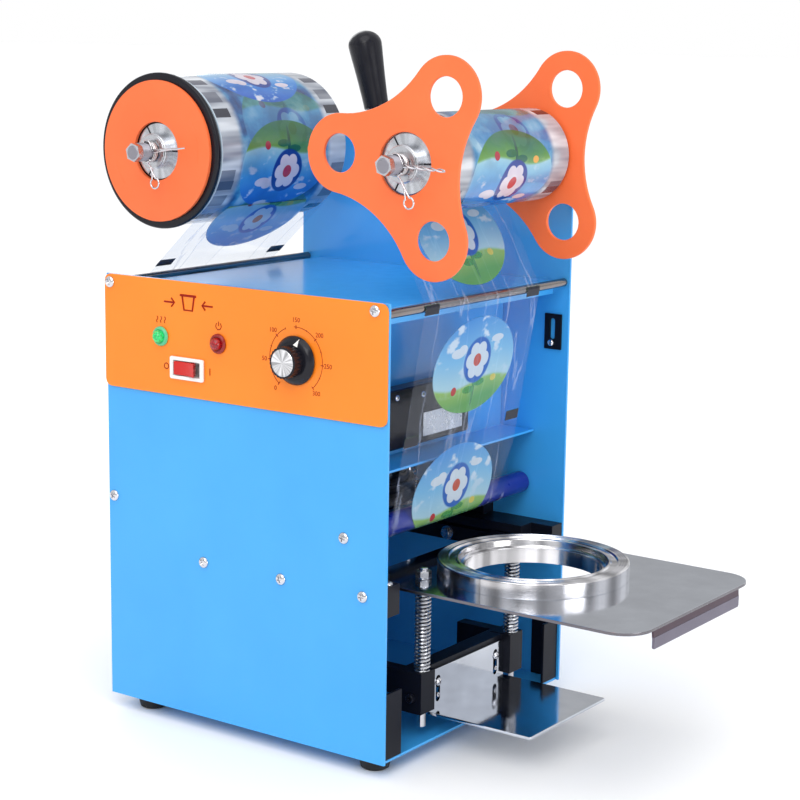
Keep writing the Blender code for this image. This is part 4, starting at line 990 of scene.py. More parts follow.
def build_fittings():
    """Terminal box, thermostat, film bracket, power inlet and shaft bush."""
    box = softened("terminal_box", BLACK, 0.0008)
    low, high = machine_box("terminal_box")
    for x, z in ((low.x + 0.0192, high.z - 0.0052), (high.x - 0.0561, high.z - 0.0067)):
        box.stamp(PAN_HEAD, turned_to((x, low.y, z), (0, -1, 0), 0.5, 0.55), CHROME)
    box.block(
        (high.x - 0.0555, low.y - 0.0003, low.z + 0.0045),
        (high.x - 0.0090, low.y + 0.0002, low.z + 0.0205), ZINC)
    box.done("cabinet", ["terminal_box"], "black_plastic")

    softened("temperature_controller", BLACK, 0.0006).done(
        "cabinet", ["temperature_controller"], "black_plastic")
    softened("film_stop_bracket", BLACK_PAINT, 0.0003).done("cabinet", ["film_stop_bracket"], "black_steel")

    low, high = machine_box("power_inlet")
    inlet = Shape("power_inlet_finished")
    centre = middle(low, high, "xz")
    edge = rectangle((low.x, low.z), (high.x, high.z))
    outer = fillet(
        rectangle((centre[0] - 0.0135, centre[1] - 0.0098), (centre[0] + 0.0135, centre[1] + 0.0098)),
        [0.0012, 0.0012, 0.005, 0.005], 5)
    pocket = fillet(
        rectangle((centre[0] - 0.0118, centre[1] - 0.0081), (centre[0] + 0.0118, centre[1] + 0.0081)),
        [0.001, 0.001, 0.004, 0.004], 5)
    plate(inlet, [fillet(edge, 0.002), pocket], "Y", high.y - 0.0035, high.y - 0.0008, 0.0004, BLACK)
    plate(inlet, [outer, pocket], "Y", high.y - 0.0025, high.y, 0.0003, BLACK)
    inlet.block(
        (low.x + 0.003, low.y, low.z + 0.002), (high.x - 0.003, high.y - 0.0125, high.z - 0.002), BLACK)
    for x, z in ((-0.0060, -0.0015), (0.0, 0.0030), (0.0060, -0.0015)):
        pin = (centre[0] + x, centre[1] + z)
        inlet.block(
            (pin[0] - 0.001, high.y - 0.013, pin[1] - 0.0022),
            (pin[0] + 0.001, high.y - 0.0030, pin[1] + 0.0022), BRASS)
    for side in (-1, 1):
        inlet.stamp(
            PAN_HEAD,
            turned_to((centre[0] + side * 0.0168, high.y - 0.0008, centre[1]), (0, 1, 0), 0.4, 0.55),
            CHROME)
    inlet.done("cabinet", ["power_inlet"], "black_plastic")

    low, high = machine_box("shaft_bush")
    bore = SHAFT_BORE_R
    turned_piece(
        "shaft_bush", "cabinet", "turned_steel", "X", SHAFT,
        [
            (bore, low.x), (0.0083, low.x), (0.0083, OUTER_X), (0.0118, OUTER_X),
            (0.0120, OUTER_X + 0.0006), (0.0120, high.x - 0.0008), (0.0112, high.x),
            (bore + 0.0006, high.x), (bore, high.x - 0.0006)],
        STEEL)


def glyph_mesh(text, size):
    """Flat characters as a thin mesh in the XY plane, centred on the origin."""
    curve = bpy.data.curves.new("glyph", "FONT")
    curve.body = text
    curve.size = size
    curve.align_x = "CENTER"
    curve.align_y = "CENTER"
    curve.extrude = 0.00005
    curve.resolution_u = 3
    holder = bpy.data.objects.new("glyph", curve)
    bpy.context.collection.objects.link(holder)
    bpy.context.view_layer.update()
    mesh = bpy.data.meshes.new_from_object(holder.evaluated_get(bpy.context.evaluated_depsgraph_get()))
    bpy.data.objects.remove(holder)
    return mesh


def panel_point(y, z, out=0.0):
    """A place on the control panel's face."""
    return Vector((PANEL_FACE - out, y, z))


def build_panel_printing():
    """The knob's scale and small picture marks beside the lamps and the switch, in thin raised ink."""
    ink = Shape("panel_printing")
    knob_y, knob_z = KNOB_CENTRE

    def stroke(points, width):
        ink.wire([panel_point(y, z, -0.00002) for y, z in points], width, INK, 6)

    def dial(angle, radius):
        """A point of the scale; the angle grows clockwise from straight down, as the operator sees it."""
        return knob_y + radius * math.sin(angle), knob_z - radius * math.cos(angle)

    first, last = math.radians(40), math.radians(320)
    arc_points = [dial(first + (last - first) * k / 60, 0.0212) for k in range(61)]
    stroke(arc_points[:26], 0.00022)
    stroke(arc_points[29:], 0.00022)
    facing = Matrix(((0, 0, -1), (-1, 0, 0), (0, 1, 0))).to_4x4()
    for mark in range(7):
        angle = first + (last - first) * mark / 6
        stroke([dial(angle, 0.0200), dial(angle, 0.0224)], 0.00030)
        place = panel_point(*dial(angle, 0.0256), 0.00005)
        ink.stamp(glyph_mesh(str(mark * 50), 0.0042), Matrix.Translation(place) @ facing, INK)
    for mark in range(6):
        angle = first + (last - first) * (mark + 0.5) / 6
        stroke([dial(angle, 0.0206), dial(angle, 0.0218)], 0.00020)

    cup_y, cup_z = 0.043, 0.2925
    stroke(
        [
            (cup_y + 0.0052, cup_z + 0.0040), (cup_y + 0.0036, cup_z - 0.0052),
            (cup_y - 0.0036, cup_z - 0.0052), (cup_y - 0.0052, cup_z + 0.0040)],
        0.00070)
    stroke([(cup_y + 0.0068, cup_z + 0.0044), (cup_y - 0.0068, cup_z + 0.0044)], 0.00085)
    for side in (-1, 1):
        away = cup_y + side * 0.0165
        stroke([(away + 0.0045, cup_z - 0.001), (away - 0.0045, cup_z - 0.001)], 0.00062)
        stroke([(away - side * 0.0018, cup_z + 0.0018), (away - side * 0.0045, cup_z - 0.001),
                (away - side * 0.0018, cup_z - 0.0038)], 0.00062)

    for wave in range(3):
        y = 0.067 + (wave - 1) * 0.0034
        stroke([(y + 0.0006 * math.sin(1.1 * k), 0.2770 + 0.0007 * k) for k in range(7)], 0.00034)
    stroke(ring_points((0.017, 0.2795), 0.0023, 24, 2.2)[:20], 0.00034)
    stroke([(0.017, 0.2795), (0.017, 0.2825)], 0.00034)
    stroke(ring_points((0.0625, 0.2485), 0.0019, 20) + [(0.0644, 0.2485)], 0.00034)
    stroke([(0.0245, 0.2462), (0.0245, 0.2508)], 0.00038)
    ink.done("cabinet", slot="orange_sheet")


def build_lamps():
    for node, lens_finish, ring in (("green_lamp", GREEN_LENS, moulded("green_bezel", (0.10, 0.55, 0.28),
                                                                       (0.08, 0.48, 0.24), 0.25, 0.3)),
                                    ("red_lamp", RED_LENS, moulded("red_bezel", (0.30, 0.014, 0.012),
                                                                   (0.24, 0.010, 0.010), 0.25, 0.3))):
        low, high = machine_box(node)
        centre = middle(low, high)
        face = PANEL_FACE - 0.0003
        lamp = Shape(f"{node}_finished")
        lamp.lathe(
            [
                (0.0042, face), (0.0062, face), (0.0066, face - 0.0004), (0.0064, face - 0.0012),
                (0.0057, face - 0.0019), (0.0049, face - 0.0019), (0.0045, face - 0.0014),
                (0.0042, face - 0.0014)],
            "X", centre, ring, 64)
        dome = [(0, high.x), (0.0041, high.x), (0.0041, face - 0.0024)]
        for k in range(1, 9):
            angle = math.pi / 2 * k / 8
            dome.append(
                (0.0041 * math.cos(angle) if k < 8 else 0, face - 0.0024 - 0.0040 * math.sin(angle)))
        lamp.lathe(dome, "X", centre, lens_finish, 64)
        lamp.done("cabinet", [node], "green_plastic" if node == "green_lamp" else "red_plastic")


def build_switch():
    low, high = machine_box("switch_housing")
    centre = middle(low, high)
    outer = fillet(
        rectangle((centre[0] - 0.0145, centre[1] - 0.0075), (centre[0] + 0.0145, centre[1] + 0.0075)),
        0.0014)
    pocket = rectangle((centre[0] - 0.0115, centre[1] - 0.0050), (centre[0] + 0.0115, centre[1] + 0.0050))
    housing = Shape("switch_housing_finished")
    plate(housing, [outer, pocket], "X", low.x, low.x + 0.0018, 0.0005, WHITE)
    body = rectangle((centre[0] - 0.0124, centre[1] - 0.0059), (centre[0] + 0.0124, centre[1] + 0.0059))
    plate(housing, [body, pocket], "X", low.x + 0.0012, -0.1003, 0.0002, WHITE)
    housing.block(
        (-0.1004, centre[0] - 0.0124, centre[1] - 0.0059),
        (high.x, centre[0] + 0.0124, centre[1] + 0.0059), WHITE)
    housing.done("cabinet", ["switch_housing"], "white_plastic")

    rocker = softened("switch_rocker", RED, 0.0005, 3)
    rocker.done("rocker", ["switch_rocker"], "red_plastic")


def build_knob():
    low, high = machine_box("temperature_knob")
    centre = KNOB_CENTRE
    face = PANEL_FACE - 0.0007
    tip = low.x
    knob = Shape("temperature_knob_finished")
    knob.lathe(
        [
            (0, high.x), (0.0030, high.x), (0.0030, face), (0.0150, face), (0.0157, face - 0.0003),
            (0.0158, face - 0.0008), (0.0143, face - 0.0031), (0.0124, face - 0.0040),
            (0.0110, face - 0.0044), (0, face - 0.0044)],
        "X", centre, BLACK, 72)
    flutes = 24
    outline = []
    for k in range(flutes * 8):
        angle = math.tau * k / (flutes * 8)
        radius = 0.0102 - 0.00042 * (0.5 + 0.5 * math.cos(angle * flutes)) ** 3
        outline.append((centre[0] + radius * math.cos(angle), centre[1] + radius * math.sin(angle)))
    knob.prism(outline, "X", tip + 0.0006, face - 0.0043, BLACK)
    knob.lathe(
        [(0, tip + 0.0005), (0.0094, tip + 0.0005), (0.0094, tip + 0.0010), (0, tip + 0.0010)], "X",
        centre, BLACK, 64)
    # the cap's last number sets its painted reflection: darker and brighter bands round the axis in the
    # base colour
    cap = lathed("knob_cap_metal", (0.86, 0.86, 0.88), 0.20, "X", (0, *centre), 0.55)
    knob.lathe(
        [
            (0, tip + 0.0007), (0.0085, tip + 0.0007), (0.0087, tip + 0.0003), (0.0083, tip),
            (0.0079, tip + 0.0002), (0, tip + 0.0002)],
        "X", centre, cap, 64)
    lean = math.radians(20)
    toward = Vector((0, -math.sin(lean), math.cos(lean)))
    aside = Vector((0, math.cos(lean), math.sin(lean)))
    middle_point = Vector((0, *centre))
    skirt_x = face - 0.0040
    corners = []
    for out, along, across in ((0.0, 0.0108, 0.0016), (0.0, 0.0108, -0.0016), (0.0023, 0.0150, 0.0)):
        corners.append(
            middle_point + toward * along + aside * across + Vector((skirt_x + out - 0.0012, 0, 0)))
    top = [knob.mesh.verts.new(c) for c in corners]
    bottom = [knob.mesh.verts.new(c + Vector((0.0012, 0, 0))) for c in corners]
    knob.face(top, PALE_INK)
    knob.face(bottom, PALE_INK)
    for i in range(3):
        j = (i + 1) % 3
        knob.face((top[i], top[j], bottom[j], bottom[i]), PALE_INK)
    knob.done("knob", ["temperature_knob"], "black_plastic")


# ---------------------------------------------------------------- reels
def build_spindle(node, centre, clip_points):
    """A fixed spindle with a threaded neck, a short spring, a washer and a retaining clip."""
    low, high = machine_box(node)
    tip = low.x
    spindle = Shape(f"{node}_finished")
    profile = [(0, tip), (0.0043, tip), (0.0055, tip + 0.0012), (0.0055, tip + 0.0068)]
    profile += thread_profile(0.0055, tip + 0.0068, tip + 0.0190, 0.00125, 0.0007)
    profile += [
        (0.0055, tip + 0.0192), (0.0055, high.x - 0.009), (0.0096, high.x - 0.009),
        (0.0100, high.x - 0.0086), (0.0100, high.x - 0.004), (0.0154, high.x - 0.004),
        (0.0160, high.x - 0.0034), (0.0160, high.x), (0, high.x)
    ]
    spindle.lathe(profile, "X", centre, THREAD, 64)
    spindle.prism(ring_points(centre, 0.0064, 6, 0.3), "X", tip + 0.0004, tip + 0.0046, ZINC)
    spindle.lathe(
        [(0.0050, tip + 0.0050)] + thread_profile(0.0062, tip + 0.0052, tip + 0.0120, 0.0016, 0.0009) + [
            (0.0050, tip + 0.0120)],
        "X", centre, THREAD, 64)
    spindle.done("cabinet", [node], "turned_steel")

    collar = Shape(f"{node}_collar")
    washer = tip + 0.0183
    collar.lathe([(0.0058, washer), (0.0112, washer), (0.0115, washer + 0.0003), (0.0112, washer + 0.0009),
                  (0.0058, washer + 0.0009)], "X", centre, ZINC, 64)
    coil = []
    for k in range(73):
        angle = math.tau * k / 24
        along = washer - 0.0004 - 0.0046 * k / 72
        coil.append(spun("X", centre, 0.0068 * math.cos(angle), 0.0068 * math.sin(angle), along))
    collar.wire(coil, 0.0006, STEEL, 8)
    collar.done("cabinet", slot="turned_steel")

    clip = Shape(f"{node}_clip")
    pin_x = tip + 0.0135
    for points, radius in clip_points:
        clip.wire([Vector((pin_x + x, y, z)) for x, y, z in points], radius, CHROME, 10)
    clip.done("cabinet", slot="turned_steel")


def smooth_path(points, steps=8):
    """A smooth line through points."""
    made = []
    last = len(points) - 1
    for i in range(last):
        p0, p1, p2, p3 = (Vector(points[min(max(j, 0), last)]) for j in (i - 1, i, i + 1, i + 2))
        for k in range(steps):
            t = k / steps
            made.append(0.5 * (2 * p1 + (p2 - p0) * t + (2 * p0 - 5 * p1 + 4 * p2 - p3) * t * t
                               + (3 * p1 - p0 - 3 * p2 + p3) * t ** 3))
    return made + [Vector(points[last])]


def clip_for(centre, loop, end, twisted):
    """The wire of a retaining clip: a round eye, a leg through the spindle and an end to one side."""
    eye = []
    away = (Vector(loop) - centre).normalized()
    side = Vector((-away.y, away.x))
    for k in range(21):
        angle = math.pi + math.radians(24) + (math.tau - math.radians(48)) * k / 20
        eye.append((0.0008, *(Vector(loop) + 0.0036 * (away * math.cos(angle) + side * math.sin(angle)))))
    near_hole = centre + away * 0.0050
    leg = [
        (0.0, *(centre - away * 0.0070)), (0.0, *centre), (0.0, *near_hole),
        (0.0004, *(centre + away * 0.0120))
    ]
    leg += eye
    leg += [(0.0018, *(centre + away * 0.0120 + side * 0.0004)), (-0.0012, *(centre + away * 0.0076)),
            (-0.0016, *(centre + away * 0.0066 - side * 0.003))]
    toward = (Vector(end) - centre).normalized()
    across = Vector((-toward.y, toward.x))
    start = centre + toward * 0.0058
    length = (Vector(end) - start).length
    wires = [(smooth_path(leg, 6), 0.00062)]
    turns = 2.2 if twisted else 0.4
    for phase in (0.0, math.pi):
        points = []
        for k in range(33):
            part = k / 32
            angle = phase + math.tau * turns * part
            spread = 0.0008 * (1 if twisted else 1 - part)
            place = start + toward * length * part + across * spread * math.cos(angle)
            points.append((spread * math.sin(angle), *place))
        wires.append((points, 0.00058))
    back = centre - away * 0.0070
    wires.append((smooth_path([(0.0, *back), (0.0, *(back + toward * 0.0045)), (0.0, *start)], 8), 0.00058))
    return wires


def film_roll(name, centre, radius, finish_outside, finish_end, body, node):
    """Film wound on its hub: the outside carries the prints and each end shows its layers."""
    low, high = machine_box(node)
    roll = Shape(name)
    segments = 128
    bore = 0.0193
    edge = 0.0006
    loops = [(bore, low.x), (radius - edge, low.x), (radius, low.x + edge), (radius, high.x - edge),
             (radius - edge, high.x), (bore, high.x)]
    rings = []
    for reach, along in loops:
        rings.append([roll.mesh.verts.new(spun("X", centre, reach * math.cos(math.tau * k / segments),
                                               reach * math.sin(math.tau * k / segments), along))
                      for k in range(segments)])
    for number in range(len(loops)):
        following = (number + 1) % len(loops)
        outside = number == 2
        for k in range(segments):
            m = (k + 1) % segments
            corners = (rings[number][k], rings[number][m], rings[following][m], rings[following][k])
            made = roll.face(corners, finish_outside if outside else finish_end)
            for loop, turn, ring in zip(
                made.loops, (k, k + 1, k + 1, k), (number, number, following, following)
            ):
                reach, along = loops[ring]
                travel = math.tau * turn / segments * radius if outside else reach
                loop[roll.uv].uv = (along, travel)
    return roll.done(body, [node], "printed_film")


def lobed_points(centre, phase):
    """Three round lobes joined by hollow sides, and the centre of each lobe."""
    pitch, lobe, waist = 0.051, 0.025, 0.040
    half_chord = pitch * math.sin(math.pi / 3)
    mid = pitch * math.cos(math.pi / 3)
    step = waist - mid
    hollow = (half_chord ** 2 + step ** 2 - lobe ** 2) / (2 * (lobe - step))
    hollow_centre = waist + hollow
    spread = math.atan2(half_chord, hollow_centre - mid)
    points = []
    centres = []

    def arc(place, radius, start, end, steps):
        return [(place.x + radius * math.cos(start + (end - start) * k / steps),
                 place.y + radius * math.sin(start + (end - start) * k / steps)) for k in range(steps + 1)]

    for number in range(3):
        outward = phase + number * math.tau / 3
        between = outward + math.pi / 3
        lobe_centre = centre + pitch * Vector((math.cos(outward), math.sin(outward)))
        side_centre = centre + hollow_centre * Vector((math.cos(between), math.sin(between)))
        reach = math.pi / 3 + spread
        points += arc(lobe_centre, lobe, outward - reach, outward + reach, 40)
        points += arc(side_centre, hollow, between + math.pi + spread, between + math.pi - spread, 14)[1:-1]
        centres.append(lobe_centre)
    return points, centres


def build_reels():
    supply_loop, supply_end = (0.0931, 0.3664), (0.0652, 0.3910)
    take_loop, take_end = (-0.1157, 0.3657), (-0.1425, 0.3866)
    build_spindle("supply_spindle", SUPPLY, clip_for(SUPPLY, supply_loop, supply_end, False))
    build_spindle("take_up_spindle", TAKE_UP, clip_for(TAKE_UP, take_loop, take_end, True))

    for node, body, centre in (
        ("supply_hub", "supply_reel", SUPPLY), ("take_up_hub", "take_up_reel", TAKE_UP)
    ):
        low, high = machine_box(node)
        face = -0.0747
        # the hub's last number sets its painted reflection: darker and brighter bands round the axis in the
        # base colour
        turned_face = lathed(f"{node}_metal", (0.66, 0.68, 0.72), 0.26, "X", (0, *centre), 0.32)
        hub = Shape(f"{node}_finished")
        hub.lathe(
            [
                (0.0060, low.x + 0.0004), (0.0064, low.x), (0.0114, low.x), (0.0120, low.x + 0.0006),
                (0.0120, face), (0.0186, face), (0.0190, face + 0.0004), (0.0190, high.x - 0.0018),
                (0.0237, high.x - 0.0018), (0.0240, high.x - 0.0015), (0.0240, high.x - 0.0004),
                (0.0236, high.x), (0.0060, high.x)],
            "X", centre, turned_face, 96)
        # painted shade: three thin black strips on the hub face stand for its slots and the shade inside
        # them
        for slot_number in range(3):
            angle = math.radians(-62 + 120 * slot_number)
            outward = Vector((math.cos(angle), math.sin(angle)))
            aside = Vector((-outward.y, outward.x)) * 0.00055
            corners = [centre + outward * 0.0124 + aside, centre + outward * 0.0189 + aside,
                       centre + outward * 0.0189 - aside, centre + outward * 0.0124 - aside]
            hub.prism([tuple(c) for c in corners], "X", face - 0.00012, face + 0.0006, BLACK)
        hub.done(body, [node], "aluminium")

    low, high = machine_box("supply_disc")
    disc = Shape("supply_disc_finished")
    plate(
        disc, [ring_points(SUPPLY, 0.0475, 128), ring_points(SUPPLY, 0.0196, 96)], "X", low.x, high.x,
        0.0006, ORANGE)
    for start, end in ((2.5, 3.35), (5.6, 6.1)):
        rib = [spun("X", SUPPLY, 0.0375 * math.cos(start + (end - start) * k / 24),
                    0.0375 * math.sin(start + (end - start) * k / 24), low.x + 0.00012) for k in range(25)]
        disc.wire(rib, 0.0003, ORANGE, 8)
    disc.done("supply_reel", ["supply_disc"], "orange_plastic")

    low, high = machine_box("supply_flange")
    turned_piece(
        "supply_flange", "supply_reel", "black_plastic", "X", SUPPLY,
        [
            (0.0193, low.x), (0.0512, low.x), (0.0521, low.x + 0.0004), (0.0525, low.x + 0.0012),
            (0.0525, high.x - 0.0012), (0.0521, high.x - 0.0004), (0.0512, high.x), (0.0193, high.x)],
        BLACK, 128)

    for node, phase in (("take_up_disc_near", math.radians(125)), ("take_up_disc_far", math.radians(120))):
        low, high = machine_box(node)
        points, centres = lobed_points(TAKE_UP, phase)
        outlines = [points, ring_points(TAKE_UP, 0.0196, 96)] + [
            ring_points(c, 0.0123, 72) for c in centres
        ]
        disc = Shape(f"{node}_finished")
        plate(disc, outlines, "X", low.x, high.x, 0.0006, ORANGE)
        disc.done("take_up_reel", [node], "orange_plastic")

    edge = wound_edge_finish()
    film_roll(
        "supply_film_roll_finished", SUPPLY, SUPPLY_ROLL_R,
        wound_film_finish("supply_roll_film", SUPPLY_ROLL_R, 4), edge, "supply_reel", "supply_film_roll")
    film_roll(
        "take_up_film_roll_finished", TAKE_UP, TAKE_UP_ROLL_R,
        wound_film_finish("take_up_roll_film", TAKE_UP_ROLL_R, 2), edge, "take_up_reel",
        "take_up_film_roll")


# ---------------------------------------------------------------- film web and rollers
FILM_GAUGE = 0.0003
FILM_LIFT = 0.00045              # film centre line above what it runs on


def tangent_line(first, second):
    """Touching points of a line from one guide circle (y, z, radius, turn) to the next."""
    offset = Vector(second[:2]) - Vector(first[:2])
    rise = second[3] * second[2] - first[3] * first[2]
    heading = math.atan2(offset.y, offset.x) - math.asin(rise / offset.length)
    normal = Vector((-math.sin(heading), math.cos(heading)))
    return Vector(first[:2]) - first[3] * first[2] * normal, Vector(
        second[:2]) - second[3] * second[2] * normal


def wrap(guide, start, end, steps):
    """Points round a guide circle from one touching point to another."""
    centre = Vector(guide[:2])
    first = math.atan2(*(start - centre).yx)
    last = math.atan2(*(end - centre).yx)
    sweep = (last - first) % math.tau if guide[3] > 0 else -((first - last) % math.tau)
    return [
        centre + guide[2] * Vector(
            (math.cos(first + sweep * k / steps), math.sin(first + sweep * k / steps)))
        for k in range(steps + 1)
    ]


def straight(start, end, steps):
    return [start.lerp(end, k / steps) for k in range(steps + 1)]


def film_run(name, points, travel, material, node):
    """A strip of film that follows points in the YZ plane, mapped by its width and its length."""
    strip = Shape(name)
    half = FILM_HALF_WIDTH
    low_row, high_row, lengths = [], [], []
    for i, point in enumerate(points):
        along = (points[min(i + 1, len(points) - 1)] - points[max(i - 1, 0)]).normalized()
        normal = Vector((-along.y, along.x)) * FILM_GAUGE / 2
        low_row.append([strip.mesh.verts.new((x, *(point - normal))) for x in (-half, half)])
        high_row.append([strip.mesh.verts.new((x, *(point + normal))) for x in (-half, half)])
        travel += (point - points[i - 1]).length if i else 0
        lengths.append(travel)

    def sheet_face(corners, places):
        made = strip.face(corners, material)
        for loop in made.loops:
            loop[strip.uv].uv = places[corners.index(loop.vert)]

    for i in range(len(points) - 1):
        places = ((-half, lengths[i]), (half, lengths[i]), (half, lengths[i + 1]), (-half, lengths[i + 1]))
        sheet_face((low_row[i][0], low_row[i][1], low_row[i + 1][1], low_row[i + 1][0]), places)
        sheet_face((high_row[i][0], high_row[i][1], high_row[i + 1][1], high_row[i + 1][0]), places)
        for side, x in enumerate((-half, half)):
            sheet_face((low_row[i][side], low_row[i + 1][side], high_row[i + 1][side], high_row[i][side]),
                       ((x, lengths[i]), (x, lengths[i + 1]), (x, lengths[i + 1]), (x, lengths[i])))
    for i in (0, len(points) - 1):
        sheet_face((low_row[i][0], low_row[i][1], high_row[i][1], high_row[i][0]),
                   ((-half, lengths[i]), (half, lengths[i]), (half, lengths[i]), (-half, lengths[i])))
    strip.done("cabinet", [node], "clear_film")
    return travel


def build_film():
    supply = (*SUPPLY, SUPPLY_ROLL_R + FILM_LIFT, 1)
    rear_rod = (*REAR_ROD, GUIDE_ROD_R + FILM_LIFT, -1)
    rear_roller = (*REAR_ROLLER, ROLLER_R + FILM_LIFT, -1)
    front_roller = (*FRONT_ROLLER, ROLLER_R + FILM_LIFT, -1)
    front_rod = (*FRONT_ROD, GUIDE_ROD_R + FILM_LIFT, -1)
    take_up = (*TAKE_UP, TAKE_UP_ROLL_R + FILM_LIFT, 1)
    off_supply, on_rear_rod = tangent_line(supply, rear_rod)
    off_rear_rod, on_rear_roller = tangent_line(rear_rod, rear_roller)
    off_rear_roller, on_front_roller = tangent_line(rear_roller, front_roller)
    off_front_roller, on_front_rod = tangent_line(front_roller, front_rod)
    off_front_rod, on_take_up = tangent_line(front_rod, take_up)
    rear_points = straight(off_supply, on_rear_rod, 8)[:-1] + wrap(rear_rod, on_rear_rod, off_rear_rod, 10)
    rear_points += straight(off_rear_rod, on_rear_roller, 10)[1:-1]
    rear_points += wrap(rear_roller, on_rear_roller, off_rear_roller, 12)
    front_points = wrap(front_roller, on_front_roller, off_front_roller, 12)
    front_points += straight(off_front_roller, on_front_rod, 12)[1:-1]
    front_points += wrap(front_rod, on_front_rod, off_front_rod, 10) + straight(
        off_front_rod, on_take_up, 10)[1:]

    rear_length = sum((b - a).length for a, b in zip(rear_points, rear_points[1:]))
    bed_length = (on_front_roller - off_rear_roller).length
    to_rod = sum((b - a).length for a, b in zip(front_points[:24], front_points[1:24]))
    first_print = rear_length + bed_length + to_rod - 0.0325
    film = film_finish("printed_clear_film", first_print % PRINT_PITCH)
    travel = film_run("film_rear_run_finished", rear_points, 0.0, film, "film_rear_run")

    gap = 0.0003
    start, end = off_rear_roller - Vector((gap, 0)), on_front_roller + Vector((gap, 0))
    bed = Shape("film_bed_run_finished")
    hole, disc_radius, steps = 0.0536, 0.0533, 96
    half = FILM_HALF_WIDTH

    def height(y):
        return start.y + (end.y - start.y) * (y - start.x) / (end.x - start.x)

    def bed_vertex(x, y, side):
        return bed.mesh.verts.new((x, y, height(y) + side * FILM_GAUGE / 2))

    def bed_face(shape, corners):
        made = shape.face(corners, film)
        for loop in made.loops:
            loop[shape.uv].uv = (loop.vert.co.x, travel + start.x - loop.vert.co.y)

    inner, outer = [], []
    for k in range(steps):
        angle = math.tau * (k + 0.5) / steps
        direction = Vector((math.cos(angle), math.sin(angle)))
        limits = [half / abs(direction.x), (start.x if direction.y > 0 else -end.x) / abs(direction.y)]
        reach = min(limits)
        inner.append([bed_vertex(hole * direction.x, hole * direction.y, side) for side in (-1, 1)])
        outer.append([bed_vertex(reach * direction.x, reach * direction.y, side) for side in (-1, 1)])
    for k in range(steps):
        m = (k + 1) % steps
        for side in (0, 1):
            bed_face(bed, (inner[k][side], inner[m][side], outer[m][side], outer[k][side]))
        bed_face(bed, (inner[k][0], inner[m][0], inner[m][1], inner[k][1]))
        bed_face(bed, (outer[k][0], outer[m][0], outer[m][1], outer[k][1]))
    bed.done("cabinet", ["film_bed_run"], "clear_film")

    disc = Shape("film_under_head")
    film_z = height(0.0)
    rows = []
    for z in (film_z - FILM_GAUGE / 2, film_z + FILM_GAUGE / 2):
        rows.append([disc.mesh.verts.new((x, y, z)) for x, y in ring_points((0, 0), disc_radius, steps)])
    bed_face(disc, tuple(rows[0]))
    bed_face(disc, tuple(rows[1]))
    for k in range(steps):
        m = (k + 1) % steps
        bed_face(disc, (rows[0][k], rows[0][m], rows[1][m], rows[1][k]))
    pressed = disc.done("cabinet", slot="clear_film")
    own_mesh(pressed)

    film_run("film_front_run_finished", front_points, travel + bed_length, film, "film_front_run")


def build_rollers():
    for node, centre in (("front_roller", FRONT_ROLLER), ("rear_roller", REAR_ROLLER)):
        high = machine_box(node)[1]
        roller = Shape(f"{node}_finished")
        end = 0.1040
        half = [(0.0030, -end), (0.0052, -end), (0.0066, -end + 0.0006), (0.0075, -end + 0.0020)]
        roller.lathe(
            [(0, -end + 0.0001)] + half + [(r, -x) for r, x in reversed(half)] + [(0, end - 0.0001)], "X",
            centre, ROLLER_BLUE, 64)
        for side in (-1, 1):
            roller.lathe(
                [
                    (0, side * (end - 0.004)), (0.0029, side * (end - 0.004)),
                    (0.0029, side * (high.x - 0.0003)), (0.0026, side * high.x), (0, side * high.x)],
                "X", centre, STEEL, 32)
        roller.done(node, [node], "blue_roller")


# ---------------------------------------------------------------- lever and head
def leaning(centre, aim):
    """The matrix from a shape that stands on z = 0 to a slanted line."""
    turn = Vector((0, 0, 1)).rotation_difference(aim).to_matrix().to_4x4()
    return Matrix.Translation(centre) @ turn


def template(shape):
    """The bare mesh of a shape, for stamping."""
    bmesh.ops.recalc_face_normals(shape.mesh, faces=shape.mesh.faces)
    mesh = bpy.data.meshes.new(shape.name)
    shape.mesh.to_mesh(mesh)
    shape.mesh.free()
    return mesh


